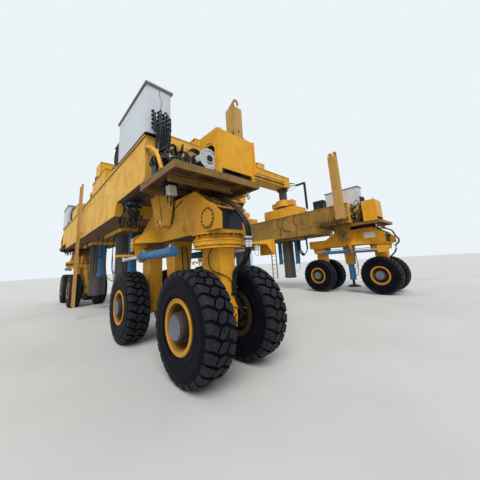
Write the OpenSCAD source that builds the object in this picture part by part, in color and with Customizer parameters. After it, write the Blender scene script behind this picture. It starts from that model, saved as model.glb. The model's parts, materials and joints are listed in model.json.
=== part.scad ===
// Rubber tyred gantry crane. Two side beams stand on four rocker bogies, each rocker stands on
// two slewing legs with a pair of tyred wheels, and two crossbeams rise on telescopic columns.
// Millimetres. +X runs across the crane, +Y along the side beams, +Z up.
// The origin is on the ground under the middle of the crane.

/* [Layout] */
// Distance between the centre lines of the two side beams
span = 9450; // [9000:50:11000]
// Distance between the two rocker pivots of one side beam
bogie_spacing = 11480; // [11300:20:12400]
// Distance between the two slewing legs of one rocker
leg_spacing = 2880; // [2700:20:3200]
// Distance between the two crossbeams
crossbeam_spacing = 4120; // [3400:20:4600]

/* [Wheels] */
// Outer diameter of a tyre
tyre_d = 1620; // [1500:10:1660]
// Width of a tyre
tyre_w = 500; // [420:10:520]
// Distance between the middles of the two tyres of one leg
wheel_track = 1130; // [1110:10:1200]
// Diameter of the bead seat inside a tyre
bead_d = 700; // [600:10:720]
// Height of the rim flange above the bead seat
rim_flange_h = 45; // [20:5:50]
// Diameter of the hub drum
hub_d = 400; // [240:10:440]
// Diameter of the axle
axle_d = 160; // [100:10:200]

/* [Slewing legs] */
// Size of a leg across the crane
leg_w = 320; // [240:10:360]
// Size of a leg along the crane
leg_l = 500; // [400:10:560]
// Diameter of the bolted slewing flanges
flange_d = 880; // [800:10:960]
// Thickness of the flange on the leg
flange_t = 95; // [60:5:100]
// Radius at which a steering rod acts on its leg
steer_r = 660; // [640:10:760]
// Steering angle to either side
steer_deg = 30; // [10:5:30]

/* [Rockers] */
// Length of a rocker beyond each leg centre
rocker_overhang = 560; // [420:20:600]
// Width of the rocker box
rocker_w = 660; // [560:10:700]
// Height of the rocker's underside above the ground
rocker_z = 2200; // [2180:10:2260]
// Depth of a rocker at its middle
rocker_h = 760; // [680:10:780]
// Height of the rocker pivot above the ground
pivot_z = 2700; // [2650:10:2740]
// Diameter of the rocker's trunnions
trunnion_d = 180; // [140:10:200]
// Rocking angle to either side
rock_deg = 3; // [1:1:4]

/* [Stabiliser jacks] */
// Width of a jack housing where it meets the rocker
jack_top_w = 440; // [420:10:560]
// Width of a jack housing at its lower end
jack_end_w = 340; // [310:10:400]
// Height of the lower end of a jack housing
jack_end_z = 1310; // [1200:10:1500]
// Diameter of a jack cylinder
jack_d = 270; // [200:10:300]
// Diameter of a jack rod
jack_rod_d = 120; // [80:5:160]
// Height of the lower end of a jack cylinder
jack_low_z = 560; // [500:10:700]
// Diameter of a jack foot
foot_d = 620; // [500:10:800]
// Ground clearance under a raised jack foot
foot_lift = 230; // [150:10:300]

/* [Side beams] */
// Width of a side beam over its flanges
beam_w = 2050; // [1900:10:2100]
// Height of the beam top above the ground
beam_top_z = 4210; // [4150:10:4400]
// Depth of the beam over the bogies
beam_end_h = 960; // [900:10:980]
// Extra depth of the beam between the bogies
beam_drop = 300; // [200:10:320]
// Length of the beam beyond each rocker pivot
beam_overhang = 600; // [560:10:700]
// Distance from a rocker pivot to the start of the deep section
haunch_gap = 1100; // [1000:10:1300]
// Thickness of the flange plates
plate_t = 40; // [25:5:50]
// Overhang of the flange plates past the webs
flange_lip = 25; // [15:5:60]

/* [Lifting gear] */
// Outer diameter of a guide tube
tube_d = 660; // [620:10:700]
// Diameter of a lifting column
column_d = 500; // [420:10:540]
// Height of the lower end of a guide tube
tube_low_z = 640; // [500:10:900]
// Length of a guide block along the side beam
block_l = 2300; // [2000:20:2500]
// Width of a guide block
block_w = 1300; // [1150:10:1400]
// Height of a guide block
block_h = 640; // [400:10:680]
// Height of the box beside a guide block
side_box_h = 470; // [300:10:600]
// Diameter of a lifting cylinder
cylinder_d = 240; // [180:10:260]
// Diameter of a lifting rod
rod_d = 130; // [80:5:140]
// Distance from a column to each of its two lifting cylinders
cylinder_offset = 620; // [560:10:700]
// Height of the lower end of a lifting cylinder
cylinder_low_z = 1480; // [1300:20:1800]
// Travel of the crossbeams upward
lift_up = 1800; // [500:50:1800]
// Travel of the crossbeams downward
lift_down = 150; // [0:10:180]

/* [Crossbeams] */
// Length of a crossbeam
crossbeam_l = 9900; // [9900:50:10200]
// Width of a crossbeam
crossbeam_w = 900; // [800:10:1000]
// Depth of a crossbeam
crossbeam_h = 700; // [500:10:900]
// Height of a crossbeam's underside above the ground
crossbeam_z = 6260; // [6200:20:6800]
// Distance from the middle of a crossbeam to the left-hand box on its top
left_box_x = 1850; // [1500:50:2600]
// Distance from the middle of a crossbeam to the right-hand box on its top
right_box_x = 2300; // [1500:50:2600]
// Length of a box on a crossbeam
top_box_l = 600; // [400:20:800]
// Height of a box on a crossbeam
top_box_h = 340; // [200:10:500]
// Diameter of a crosshead
crosshead_d = 980; // [900:20:1200]
// Thickness of a crosshead
crosshead_h = 380; // [300:10:400]

/* [End decks] */
// Length of an end deck beyond the side beam
deck_l = 1230; // [1150:10:1500]
// Deck edge on the outer side, from the beam centre line
deck_out = 1035; // [900:5:1100]
// Deck edge on the inner side, from the beam centre line
deck_in = 795; // [780:5:900]
// Height of the deck surface above the ground
deck_z = 3210; // [3200:5:3230]
// Depth of the deck's edge channels
deck_h = 120; // [80:5:160]

/* [Equipment] */
// Width of a pump housing across the crane
housing_w = 950; // [800:10:1000]
// Length of a pump housing along the crane
housing_l = 550; // [450:10:600]
// Height of a pump housing
housing_h = 950; // [800:10:1100]
// Diameter of the arch in a pump housing
arch_d = 400; // [300:10:440]
// Diameter of the bell housing
drum_d = 380; // [320:10:400]
// Diameter of the motor behind it
motor_d = 240; // [180:10:240]
// Diameter of a pump
pump_d = 190; // [140:10:220]
// Height of the valve block
valve_h = 600; // [300:10:640]
// Width of an electric cabinet
cabinet_w = 500; // [400:10:600]
// Length of an electric cabinet
cabinet_l = 1770; // [1500:10:2000]
// Height of an electric cabinet
cabinet_h = 1080; // [900:10:1400]
// Width of a cooling unit
cooler_w = 420; // [300:10:480]
// Length of a cooling unit
cooler_l = 620; // [400:10:700]
// Height of a cooling unit
cooler_h = 820; // [600:10:1000]
// Width of a hook post along the crane
post_l = 350; // [300:10:400]
// Depth of a hook post across the crane
post_w = 300; // [260:10:340]
// Distance from a hook post's inner face to the side beam
post_gap = 650; // [550:10:750]
// Height of the left-hand hook posts
left_post_h = 2840; // [2400:20:3000]
// Height of the right-hand hook posts
right_post_h = 3300; // [2800:20:3400]
// Width of a ladder
ladder_w = 440; // [380:10:500]
// Distance between ladder rungs
rung_step = 300; // [250:10:320]

/* [Hidden] */
$fn = 64;
GAP = 0.3;
RUN = 6;
FIT = 0.4;
GLAND_H = 60;
CORNERS = [["near_left", -1, -1], ["near_right", 1, -1], ["far_left", -1, 1], ["far_right", 1, 1]];
SIDES = [["left", -1], ["right", 1]];
ENDS = [["near", -1], ["far", 1]];
// The outer leg of a rocker is the one nearer the end of the crane. The third value is the distance
// of the steering pin behind the middle of the leg.
LEGS = [["outer", 1, 300], ["inner", -1, 110]];

YELLOW = [0.86, 0.60, 0.13];
RUBBER = [0.10, 0.10, 0.11];
BLUE = [0.13, 0.34, 0.58];
STEEL = [0.45, 0.44, 0.42];
CHROME = [0.80, 0.81, 0.83];
GREY = [0.80, 0.82, 0.84];
BLACK = [0.08, 0.08, 0.09];

axle_z = tyre_d / 2;
leg_y = leg_spacing / 2;
pivot_y = bogie_spacing / 2;
beam_half_l = pivot_y + beam_overhang;
beam_low_z = beam_top_z - beam_end_h;
beam_deep_z = beam_low_z - beam_drop;
column_y = crossbeam_spacing / 2;
web_w = beam_w - 2 * flange_lip;
haunch_l = 160;
rocker_half_l = leg_y + rocker_overhang;
rocker_top_z = rocker_z + rocker_h;
rocker_end_h = 400;
shoulder_y = 380;
crest_y = leg_y - 90;
box_half_l = leg_y + 320;
skin_end_h = 270;
skin_tail_y = 1215;
skin_tail_h = 290;
top_lip = 40;
ledge_l = 110;
cover_d = 340;
skin_t = 70;
ear_t = 70;
ear_half_w = 420;
ear_x = rocker_w / 2 + skin_t + 12;
ring_t = 120;
pad_t = 40;
jack_bore_h = 1100;
leg_top_z = rocker_z - ring_t - GAP;
arm_t = 45;
arm_reach = steer_r + 315;
short_arm_reach = steer_r + 200;
steer_d = 160;
steer_rod_d = 90;
steer_z = rocker_z - 270;
gland_y = 415;
barrel_l = 1450;
rod_stay = 775;
wing_x = steer_r + 200;
wing_h = 400;
wing_l = 800;
bracket_t = 45;
eye_r = 60;
eye_h = 100;
arm_z = steer_z + eye_h / 2 + 10;
block_top_z = beam_top_z + block_h;
crosshead_z = block_top_z + 200;
shaft_low_z = tube_low_z + 400;
rod_low_z = cylinder_low_z + 420;
post_x = span / 2 - beam_w / 2 - post_gap;
post_foot_z = beam_low_z + 150;
hook_r = 100;
hook_t = 40;
drum_h = 265;
pump_h = 330;
pump_pitch = 240;
valve_inset = 660;
tray_l = 620;
tray_t = 16;

// Placing and simple shapes

// Mirrors a piece so that its +X is the outer side and its +Y the end of the crane
module flip(sx, sy) {
    mirror([sx < 0 ? 1 : 0, 0, 0]) mirror([0, sy < 0 ? 1 : 0, 0]) children();
}

// Moves a piece to a corner's rocker pivot, in plan
module at_corner(sx, sy) {
    translate([sx * span / 2, sy * pivot_y, 0]) flip(sx, sy) children();
}

// Repeats a piece at all four corners
module each_corner() {
    for (c = CORNERS) at_corner(c[1], c[2]) children();
}

// Box between two opposite corners
module block(low, high) {
    translate(low) cube(high - low);
}

// Extrudes an outline drawn in Y and Z along X, from x0 to x1
module plate_x(x0, x1) {
    translate([x0, 0, 0]) rotate([90, 0, 90]) linear_extrude(x1 - x0) children();
}

// Extrudes an outline drawn in X and Z along Y, from y0 to y1
module plate_y(y0, y1) {
    translate([0, y1, 0]) rotate([90, 0, 0]) linear_extrude(y1 - y0) children();
}

// Cylinder along X between x0 and x1
module shaft_x(d, x0, x1) {
    translate([x0, 0, 0]) rotate([0, 90, 0]) cylinder(d = d, h = x1 - x0);
}

// Cylinder along Y between y0 and y1
module shaft_y(d, y0, y1) {
    translate([0, y1, 0]) rotate([90, 0, 0]) cylinder(d = d, h = y1 - y0);
}

// Side beams

// Side outline of a beam, deeper between the bogies
module beam_outline() {
    h = pivot_y - haunch_gap;
    b = beam_half_l;
    polygon([[-b, beam_top_z], [b, beam_top_z], [b, beam_low_z], [h, beam_low_z],
             [h - haunch_l, beam_deep_z], [haunch_l - h, beam_deep_z], [-h, beam_low_z], [-b, beam_low_z]]);
}

// The flange plates are what the outline leaves when it is moved up or down by their thickness
module beam_flanges() {
    difference() {
        plate_x(-beam_w / 2, beam_w / 2) beam_outline();
        block([-beam_w, -beam_half_l - 1, beam_low_z + plate_t],
              [beam_w, beam_half_l + 1, beam_top_z - plate_t]);
        block([-beam_w, haunch_l - pivot_y + haunch_gap, beam_deep_z + plate_t],
              [beam_w, pivot_y - haunch_gap - haunch_l, beam_top_z - plate_t]);
    }
}

// Ear that carries a rocker trunnion, with a round tip of radius r
module pivot_ear(r) {
    difference() {
        plate_x(0, ear_t) {
            hull() {
                translate([0, pivot_z]) circle(r = r, $fn = 32);
                translate([-ear_half_w, beam_low_z - 20]) square([2 * ear_half_w, 20]);
            }
        }
        translate([0, 0, pivot_z]) shaft_x(trunnion_d + 2, -1, ear_t + 1);
    }
}

// Block round a lifting column on the beam top, with a box over each lifting cylinder
module guide_block() {
    y0 = block_l / 2;
    block([-block_w / 2, -y0, beam_top_z - 1], [block_w / 2, -40, block_top_z]);
    block([-block_w / 2, 40, beam_top_z - 1], [block_w / 2, y0, block_top_z]);
    block([-block_w / 2 + 60, -50, beam_top_z - 1], [block_w / 2 - 60, 50, block_top_z - 60]);
    block([-block_w / 2 - 30, -y0 - 30, beam_top_z - 1], [block_w / 2 + 30, y0 + 30, beam_top_z + 30]);
}

// Long box on the beam's outer edge beside a guide block, with a lid
module side_box() {
    x0 = block_w / 2 - 1;
    x1 = beam_w / 2 - 15;
    y1 = block_l / 2 - 30;
    block([x0, -600, beam_top_z - 1], [x1 - 15, y1 - 15, beam_top_z + side_box_h - 30]);
    block([x0, -615, beam_top_z + side_box_h - 31], [x1, y1, beam_top_z + side_box_h]);
}

// Bore through beam and guide block, with a close gland at the top
module guide_bore(d) {
    low_z = beam_deep_z - 200;
    translate([0, 0, low_z]) cylinder(d = d + 2 * RUN, h = block_top_z - low_z - GLAND_H);
    translate([0, 0, block_top_z - GLAND_H - 1]) cylinder(d = d + 2 * FIT, h = GLAND_H + 2);
}

module side_beam(sx) {
    color(YELLOW) translate([sx * span / 2, 0, 0]) difference() {
        union() {
            plate_x(-web_w / 2, web_w / 2) beam_outline();
            beam_flanges();
            for (sy = [-1, 1]) {
                translate([0, sy * column_y, 0]) guide_block();
                translate([0, sy * column_y, 0]) flip(sx, sy) side_box();
                translate([0, sy * column_y, 0])
                    block([-tube_d / 2 - 120, -block_l / 2 + 100, beam_deep_z - 120],
                          [tube_d / 2 + 120, block_l / 2 - 100, beam_deep_z + 1]);
                translate([0, sy * pivot_y, 0]) {
                    translate([ear_x, 0, 0]) pivot_ear(sx > 0 ? 150 : 250);
                    translate([-ear_x - ear_t, 0, 0]) pivot_ear(sx > 0 ? 250 : 150);
                }
            }
        }
        for (sy = [-1, 1]) translate([0, sy * column_y, 0]) {
            guide_bore(column_d);
            for (s = [-1, 1]) translate([0, s * cylinder_offset, 0]) guide_bore(rod_d);
        }
    }
}

// Guide tubes and lifting cylinders under the side beams

module guide_tubes() {
    z = beam_deep_z - 120;
    color(STEEL) for (sx = [-1, 1]) for (sy = [-1, 1]) translate([sx * span / 2, sy * column_y, 0])
        difference() {
            union() {
                translate([0, 0, tube_low_z]) cylinder(d = tube_d, h = z - tube_low_z);
                translate([0, 0, z - 40]) cylinder(d = tube_d + 100, h = 40);
            }
            translate([0, 0, tube_low_z + 25]) cylinder(d = column_d + 2 * RUN, h = z);
        }
}

module lifting_cylinders() {
    z = beam_deep_z - 120;
    color(BLUE) for (sx = [-1, 1]) for (sy = [-1, 1]) for (s = [-1, 1])
        translate([sx * span / 2, sy * column_y + s * cylinder_offset, 0]) difference() {
            union() {
                translate([0, 0, cylinder_low_z]) cylinder(d = cylinder_d, h = z - cylinder_low_z);
                translate([0, 0, z - 60]) cylinder(d = cylinder_d + 70, h = 60);
                translate([0, 0, cylinder_low_z - 30]) cylinder(d = cylinder_d + 30, h = 60);
            }
            translate([0, 0, cylinder_low_z + 60]) cylinder(d = rod_d + 2 * RUN, h = z);
        }
}

// Crossbeams

module crossbeam(sy) {
    crossheads(sy);
    t = 30;
    x1 = crossbeam_l / 2;
    y1 = crossbeam_w / 2;
    color(YELLOW) translate([0, sy * column_y, crossbeam_z]) {
        block([-x1, -y1 + t, 0], [x1, y1 - t, crossbeam_h]);
        block([-x1, -y1, 0], [x1, y1, t]);
        block([-x1, -y1, crossbeam_h - t], [x1, y1, crossbeam_h]);
        for (x = [-x1, x1 - t]) block([x, -y1, 0], [x + t, y1, crossbeam_h]);
        for (x = [-left_box_x, right_box_x])
            block([x - top_box_l / 2, -y1 + 60, crossbeam_h - 1],
                  [x + top_box_l / 2, y1 - 60, crossbeam_h + top_box_h]);
    }
}

module crossheads(sy) {
    color(YELLOW) for (sx = [-1, 1]) translate([sx * span / 2, sy * column_y, crosshead_z])
        difference() {
            union() {
                cylinder(d = crosshead_d, h = crosshead_h);
                block([-rod_d - 90, -cylinder_offset - rod_d - 40, 0],
                      [rod_d + 90, cylinder_offset + rod_d + 40, crosshead_h - 60]);
            }
            translate([0, 0, -1]) cylinder(d = column_d + 2 * GAP, h = crosshead_h + 2);
        }
}

module lifting_columns(sy) {
    color(STEEL) for (sx = [-1, 1]) translate([sx * span / 2, sy * column_y, 0]) {
        translate([0, 0, shaft_low_z]) cylinder(d = column_d, h = crossbeam_z - shaft_low_z);
        translate([0, 0, crossbeam_z - 130]) cylinder(d = column_d + 180, h = 130);
        for (s = [-1, 1]) translate([0, s * cylinder_offset, rod_low_z])
            cylinder(d = rod_d, h = crosshead_z - rod_low_z);
    }
}

// Rockers, jacks and steering cylinders

// Height of a rocker's sloping top at a distance y from the pivot
function slope_z(y) = rocker_top_z - (y - crest_y) * (rocker_h - skin_end_h) / (rocker_half_l - crest_y);

// Side outline of a rocker's box, high over its outer leg and low where it passes under the deep beam
module rocker_outline() {
    tail_y = 60 - rocker_half_l;
    polygon([[box_half_l, rocker_z], [box_half_l, slope_z(box_half_l)], [crest_y, rocker_top_z],
             [-shoulder_y, rocker_top_z], [-shoulder_y - 600, rocker_z + rocker_end_h],
             [tail_y, rocker_z + rocker_end_h], [tail_y, rocker_z]]);
}

// Outer side plate, running past the end wall and tapering to a low tip towards the middle of the crane
module rocker_skin() {
    a = rocker_half_l;
    polygon([[a, rocker_z], [a, rocker_z + skin_end_h], [crest_y, rocker_top_z], [-shoulder_y, rocker_top_z],
             [-skin_tail_y, rocker_z + skin_tail_h], [-skin_tail_y, rocker_z]]);
}

// Box between the two side plates, lower than their edges, with a recess and a ledge at its end wall
module rocker_box() {
    window_z = slope_z(box_half_l) - top_lip - 60;
    difference() {
        plate_x(-rocker_w / 2, rocker_w / 2) intersection() {
            rocker_outline();
            translate([0, -top_lip]) rocker_outline();
        }
        block([-rocker_w / 2 + 40, box_half_l - 90, rocker_z + 70],
              [rocker_w / 2 - 60, box_half_l + 1, window_z]);
    }
    block([-rocker_w / 2, box_half_l - 1, window_z + 25],
          [rocker_w / 2, box_half_l + ledge_l, window_z + 45]);
}

// Fixed half of a slewing ring, a pad and a recessed band with stiffening ribs
module ring_seat() {
    translate([0, 0, rocker_z - pad_t]) cylinder(d = flange_d + 30, h = pad_t + 1);
    translate([0, 0, rocker_z - ring_t]) cylinder(d = flange_d - 80, h = ring_t);
    for (a = [0 : 45 : 315]) rotate([0, 0, a])
        block([flange_d / 2 - 60, -8, rocker_z - ring_t], [flange_d / 2 + 5, 8, rocker_z - pad_t + 1]);
}

// Wing that spreads from a high point on the rocker's side to the bracket of a steering cylinder
module steering_wing() {
    inner = rocker_w / 2;
    hull() {
        translate([0, 0, rocker_z]) linear_extrude(30)
            polygon([[inner, 70], [wing_x, bracket_t - gland_y], [wing_x, -gland_y - 60],
                     [inner, -gland_y - wing_l]]);
        block([inner, -gland_y - 30, rocker_z + wing_h - 5], [inner + skin_t, -gland_y, rocker_z + wing_h]);
    }
}

// Bracket that hangs from the wing, narrows downwards and holds the rod end of a steering cylinder
module steering_bracket() {
    low = steer_z - 130;
    steering_wing();
    difference() {
        plate_y(-gland_y, bracket_t - gland_y)
            polygon([[steer_r - 120, rocker_z + 1], [steer_r - 90, low + 50], [steer_r - 40, low],
                     [steer_r + 40, low], [steer_r + 90, low + 50], [wing_x, rocker_z - 30],
                     [wing_x, rocker_z + 1]]);
        translate([steer_r, 0, steer_z])
            shaft_y(steer_rod_d + 2 * FIT, -gland_y - 1, bracket_t - gland_y + 1);
    }
}

// Square jack housing that narrows downwards
module jack_housing() {
    outline = [[-jack_top_w / 2, rocker_z + 1], [jack_top_w / 2, rocker_z + 1],
               [jack_end_w / 2, jack_end_z], [-jack_end_w / 2, jack_end_z]];
    difference() {
        intersection() {
            plate_x(-jack_top_w, jack_top_w) polygon(outline);
            plate_y(-jack_top_w, jack_top_w) polygon(outline);
        }
        translate([0, 0, jack_end_z - 1]) cylinder(d = jack_d + 2 * GAP, h = 700);
    }
    translate([0, 0, rocker_z - 110]) cylinder(d = jack_top_w + 80, h = 111);
}

module rocker(c) {
    color(YELLOW) at_corner(c[1], c[2]) {
        rocker_box();
        plate_x(-rocker_w / 2 - skin_t, -rocker_w / 2 + 1) rocker_outline();
        plate_x(rocker_w / 2 - 1, rocker_w / 2 + skin_t) rocker_skin();
        translate([0, rocker_half_l - 280, rocker_z + 210])
            shaft_x(cover_d, rocker_w / 2 + skin_t - 1, rocker_w / 2 + skin_t + 14);
        jack_housing();
        for (s = [-1, 1]) translate([0, s * leg_y, 0]) ring_seat();
        translate([0, 0, pivot_z]) shaft_x(trunnion_d, -ear_x - ear_t - 40, ear_x + ear_t + 40);
        steering_bracket();
        rotate([0, 0, 180]) steering_bracket();
    }
}

// Steering cylinder barrel, from the bracket plate towards the far end
module steering_barrel() {
    front = bracket_t - gland_y;
    translate([steer_r, 0, steer_z]) difference() {
        union() {
            shaft_y(steer_d, front, front + barrel_l);
            shaft_y(steer_d + 24, front, front + 65);
            shaft_y(steer_d + 24, front + barrel_l - 50, front + barrel_l);
        }
        shaft_y(steer_rod_d + 2 * RUN, front - 1, front + barrel_l - 85);
    }
}

// The jack cylinder and the two steering cylinders of one rocker
module rocker_cylinders(c) {
    color(BLUE) at_corner(c[1], c[2]) {
        difference() {
            translate([0, 0, jack_low_z]) cylinder(d = jack_d, h = jack_end_z + 690 - jack_low_z);
            translate([0, 0, jack_low_z - 1]) cylinder(d = jack_rod_d + 2 * FIT, h = GLAND_H + 2);
            translate([0, 0, jack_low_z + GLAND_H]) cylinder(d = jack_rod_d + 2 * RUN, h = jack_bore_h);
        }
        steering_barrel();
        rotate([0, 0, 180]) steering_barrel();
    }
}

module jack_foot(c) {
    rod_top = jack_low_z - foot_lift + 500;
    color(BLACK) at_corner(c[1], c[2]) translate([0, 0, foot_lift]) {
        rotate_extrude()
            polygon([[0, 0], [foot_d / 2, 0], [foot_d / 2, 30], [110, 110], [jack_rod_d / 2, 110],
                     [jack_rod_d / 2, rod_top], [0, rod_top]]);
    }
}

// A leg's frame has its +X on the side of its steering arm
module at_leg(c, l) {
    at_corner(c[1], c[2]) translate([0, l[1] * leg_y, 0]) rotate([0, 0, l[1] > 0 ? 180 : 0]) children();
}

// Arm with its steering pin at a distance pin_y behind the leg, and on an outer leg a gusseted end plate
module steering_arm(l) {
    pin_y = l[2];
    reach = l[1] > 0 ? arm_reach : short_arm_reach;
    root = flange_d / 2 - 80;
    top = arm_z + arm_t;
    translate([0, 0, arm_z]) linear_extrude(arm_t)
        polygon([[root, 140], [root, -260], [root + 200, -pin_y - 150], [reach, -pin_y - 150],
                 [reach, -pin_y + 150]]);
    if (l[1] > 0) {
        block([reach - 1, -pin_y - 180, arm_z - 200], [reach + 30, -pin_y + 180, arm_z + 100]);
        for (y = [-pin_y - 150, -pin_y + 130]) plate_y(y, y + 20)
            polygon([[root + 200, top - 1], [reach, top - 1], [reach, arm_z + 100]]);
        plate_y(-pin_y - 150, -pin_y - 130)
            polygon([[steer_r + 150, arm_z + 1], [reach, arm_z + 1], [reach, arm_z - 190]]);
    }
}

// Turning half of a slewing ring, with a lip, a body, a groove and a lower lip
module ring_plate() {
    r = flange_d / 2;
    low = leg_top_z - flange_t;
    rotate_extrude()
        polygon([[0, leg_top_z], [r, leg_top_z], [r, leg_top_z - 22], [r - 14, leg_top_z - 22],
                 [r - 14, low], [r - 60, low], [r - 60, low - 14], [r - 32, low - 14],
                 [r - 32, low - 50], [0, low - 50]]);
}

module leg(c, l) {
    color(YELLOW) at_leg(c, l) difference() {
        union() {
            ring_plate();
            block([-leg_w / 2, -leg_l / 2, axle_z], [leg_w / 2, leg_l / 2, leg_top_z - flange_t - 49]);
            translate([0, 0, axle_z]) shaft_x(leg_l, -leg_w / 2, leg_w / 2);
            steering_arm(l);
        }
        translate([0, 0, axle_z]) shaft_x(axle_d + 2, -leg_w, leg_w);
    }
}

module steering_rod(c, l) {
    color(CHROME) at_leg(c, l) translate([steer_r, 0, steer_z]) {
        shaft_y(steer_rod_d, 40 - l[2], leg_y - gland_y + rod_stay);
        translate([0, -l[2], -eye_h / 2]) cylinder(r = eye_r, h = eye_h);
    }
}

// Wheels

// Half section of a tyre: radius across, width up
module tyre_outline() {
    r = tyre_d / 2;
    w = tyre_w / 2;
    b = bead_d / 2;
    polygon([[b, -w + 55], [b + 60, -w + 45], [b + 150, -w + 8], [b + 230, -w], [r - 130, -w + 4],
             [r - 30, -w + 24], [r, -w + 62], [r, w - 62], [r - 30, w - 24], [r - 130, w - 4],
             [b + 230, w], [b + 150, w - 8], [b + 60, w - 45], [b, w - 55]]);
}

module tyres(c, l) {
    color(RUBBER) at_leg(c, l) for (s = [-1, 1])
        translate([s * wheel_track / 2, 0, axle_z]) rotate([0, 90, 0])
            rotate_extrude($fn = 96) tyre_outline();
}

// Rim with its dished disc and hub drum, outer side up
module rim() {
    b = bead_d / 2 - GAP;
    w = tyre_w / 2;
    f = b + rim_flange_h;
    rotate_extrude($fn = 72) polygon([[0, -60], [hub_d / 2, -60], [hub_d / 2, -20], [b - 40, -20],
        [b - 40, 20 - w], [f, 20 - w], [f, 34 - w], [b, 34 - w], [b, w - 34], [f, w - 34],
        [f, w - 20], [b - 18, w - 20], [b - 40, w - 60], [b - 40, 20], [hub_d / 2, 20],
        [hub_d / 2, w], [hub_d / 2 - 30, w + 30], [0, w + 30]]);
}

module axle(c, l) {
    color(YELLOW) at_leg(c, l) translate([0, 0, axle_z]) {
        shaft_x(axle_d, -wheel_track / 2, wheel_track / 2);
        for (s = [-1, 1]) translate([s * wheel_track / 2, 0, 0]) rotate([0, s * 90, 0]) rim();
    }
}

// End decks and equipment, drawn at a corner: +X is outwards and +Y the end of the crane

module end_deck() {
    y0 = beam_overhang;
    y1 = beam_overhang + deck_l;
    block([-deck_in, y0, deck_z - 12], [deck_out, y1, deck_z]);
    block([-deck_in, y0 - 150, deck_z - deck_h], [deck_out - 10, y0, beam_low_z]);
    block([-deck_in, y0 - 1, deck_z - deck_h], [deck_out, y0 + 60, deck_z - 11]);
    block([-deck_in, y1 - 30, deck_z - deck_h], [deck_out, y1, deck_z - 11]);
    for (x = [-deck_in, deck_out - 30]) block([x, y0, deck_z - deck_h], [x + 30, y1, deck_z - 11]);
    for (x = [-deck_in / 2, 60, deck_out / 2])
        block([x, y0, deck_z - deck_h + 20], [x + 20, y1, deck_z - 11]);
    plate_x(-300, deck_out - 55) translate([y0 + 900, deck_z - deck_h]) deck_channel();
}

// Channel section that opens towards the end of the crane
module deck_channel() {
    polygon([[0, 22], [0, -110], [70, -110], [70, -98], [10, -98], [10, 10], [70, 10], [70, 22]]);
}

module end_decks() {
    color(YELLOW) each_corner() end_deck();
}

// Pump housing on the inner half of a deck, with an arch to the outside and a low slot to the end
module pump_housing() {
    x0 = -deck_in - 30;
    y1 = beam_overhang + deck_l - 130;
    t = 25;
    translate([x0, y1 - housing_l, deck_z]) difference() {
        cube([housing_w, housing_l, housing_h]);
        translate([t, t, -1]) cube([housing_w - 2 * t, housing_l - 2 * t, housing_h - t + 1]);
        translate([housing_w, housing_l / 2, 480]) {
            shaft_x(arch_d, -2 * t, 10);
            block([-2 * t, -arch_d / 2, -380], [10, arch_d / 2, 0]);
        }
        block([90, housing_l - 2 * t, -1], [housing_w - 90, housing_l + 1, 170]);
    }
}

module pump_housings() {
    color(YELLOW) each_corner() pump_housing();
}

// Bell housing with its bored end face, on the end of a motor that lies along the deck
module bell_housing(y) {
    r = drum_d / 2;
    difference() {
        union() {
            shaft_y(drum_d, y - 185, y + 185);
            shaft_y(drum_d - 40, y - 185, y + 195);
            block([r - 20, y - 60, -60], [r + 30, y + 60, 60]);
        }
        shaft_y(130, y + 60, y + 206);
    }
    shaft_y(motor_d, beam_overhang + 160, y - 184);
    block([-90, y - 150, -drum_h], [90, y + 120, 50 - r]);
    block([-100, beam_overhang + 220, -drum_h], [100, beam_overhang + 380, 30 - motor_d / 2]);
}

// Hydraulic pump with a stepped body on a foot
module pump() {
    y = beam_overhang + 210;
    shaft_y(pump_d, y, y + 260);
    shaft_y(pump_d + 40, y + 110, y + 150);
    shaft_y(pump_d - 60, y + 259, y + 360);
    block([-60, y + 40, tray_t - 1 - pump_h], [60, y + 220, -40]);
}

// Row of valves on a block against the beam end
module valve_bank() {
    y = beam_overhang + 70;
    block([0, y, 0], [380, y + 110, valve_h]);
    for (x = [60 : 85 : 320]) {
        translate([x, y + 55, valve_h - 1]) cylinder(d = 56, h = 90);
        translate([x, 0, valve_h - 100]) shaft_y(50, y + 109, y + 175);
    }
}

// Motor, bell housing, pumps and valves beside a pump housing, on one base plate
module power_pack() {
    y1 = beam_overhang + deck_l - 130 - housing_l / 2;
    drum_x = housing_w - deck_in - 30 + motor_d / 2 + 5;
    block([drum_x - 90, beam_overhang + 62, deck_z],
          [deck_out - 60, beam_overhang + tray_l, deck_z + tray_t]);
    translate([drum_x, 0, deck_z + drum_h]) bell_housing(y1);
    for (x = [deck_out - 120 - pump_pitch, deck_out - 120]) translate([x, 0, deck_z + pump_h]) pump();
    translate([deck_out - valve_inset, 0, deck_z + tray_t - 1]) valve_bank();
}

module power_packs() {
    color(BLACK) each_corner() power_pack();
}

module electric_cabinets() {
    color(GREY) each_corner() {
        x1 = beam_w / 2 - 5;
        y1 = beam_overhang + 60;
        block([x1 - cabinet_w, y1 - cabinet_l, beam_top_z], [x1, y1, beam_top_z + cabinet_h]);
        block([x1 - cabinet_w - 40, y1 - cabinet_l - 40, beam_top_z + cabinet_h],
              [x1 + 40, y1 + 40, beam_top_z + cabinet_h + 45]);
    }
}

module cooling_units() {
    color(BLACK) each_corner() {
        x1 = beam_w / 2 - 120;
        y1 = beam_overhang + 60 - cabinet_l - 180;
        block([x1 - cooler_w, y1 - cooler_l, beam_top_z], [x1, y1, beam_top_z + cooler_h]);
    }
}

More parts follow.
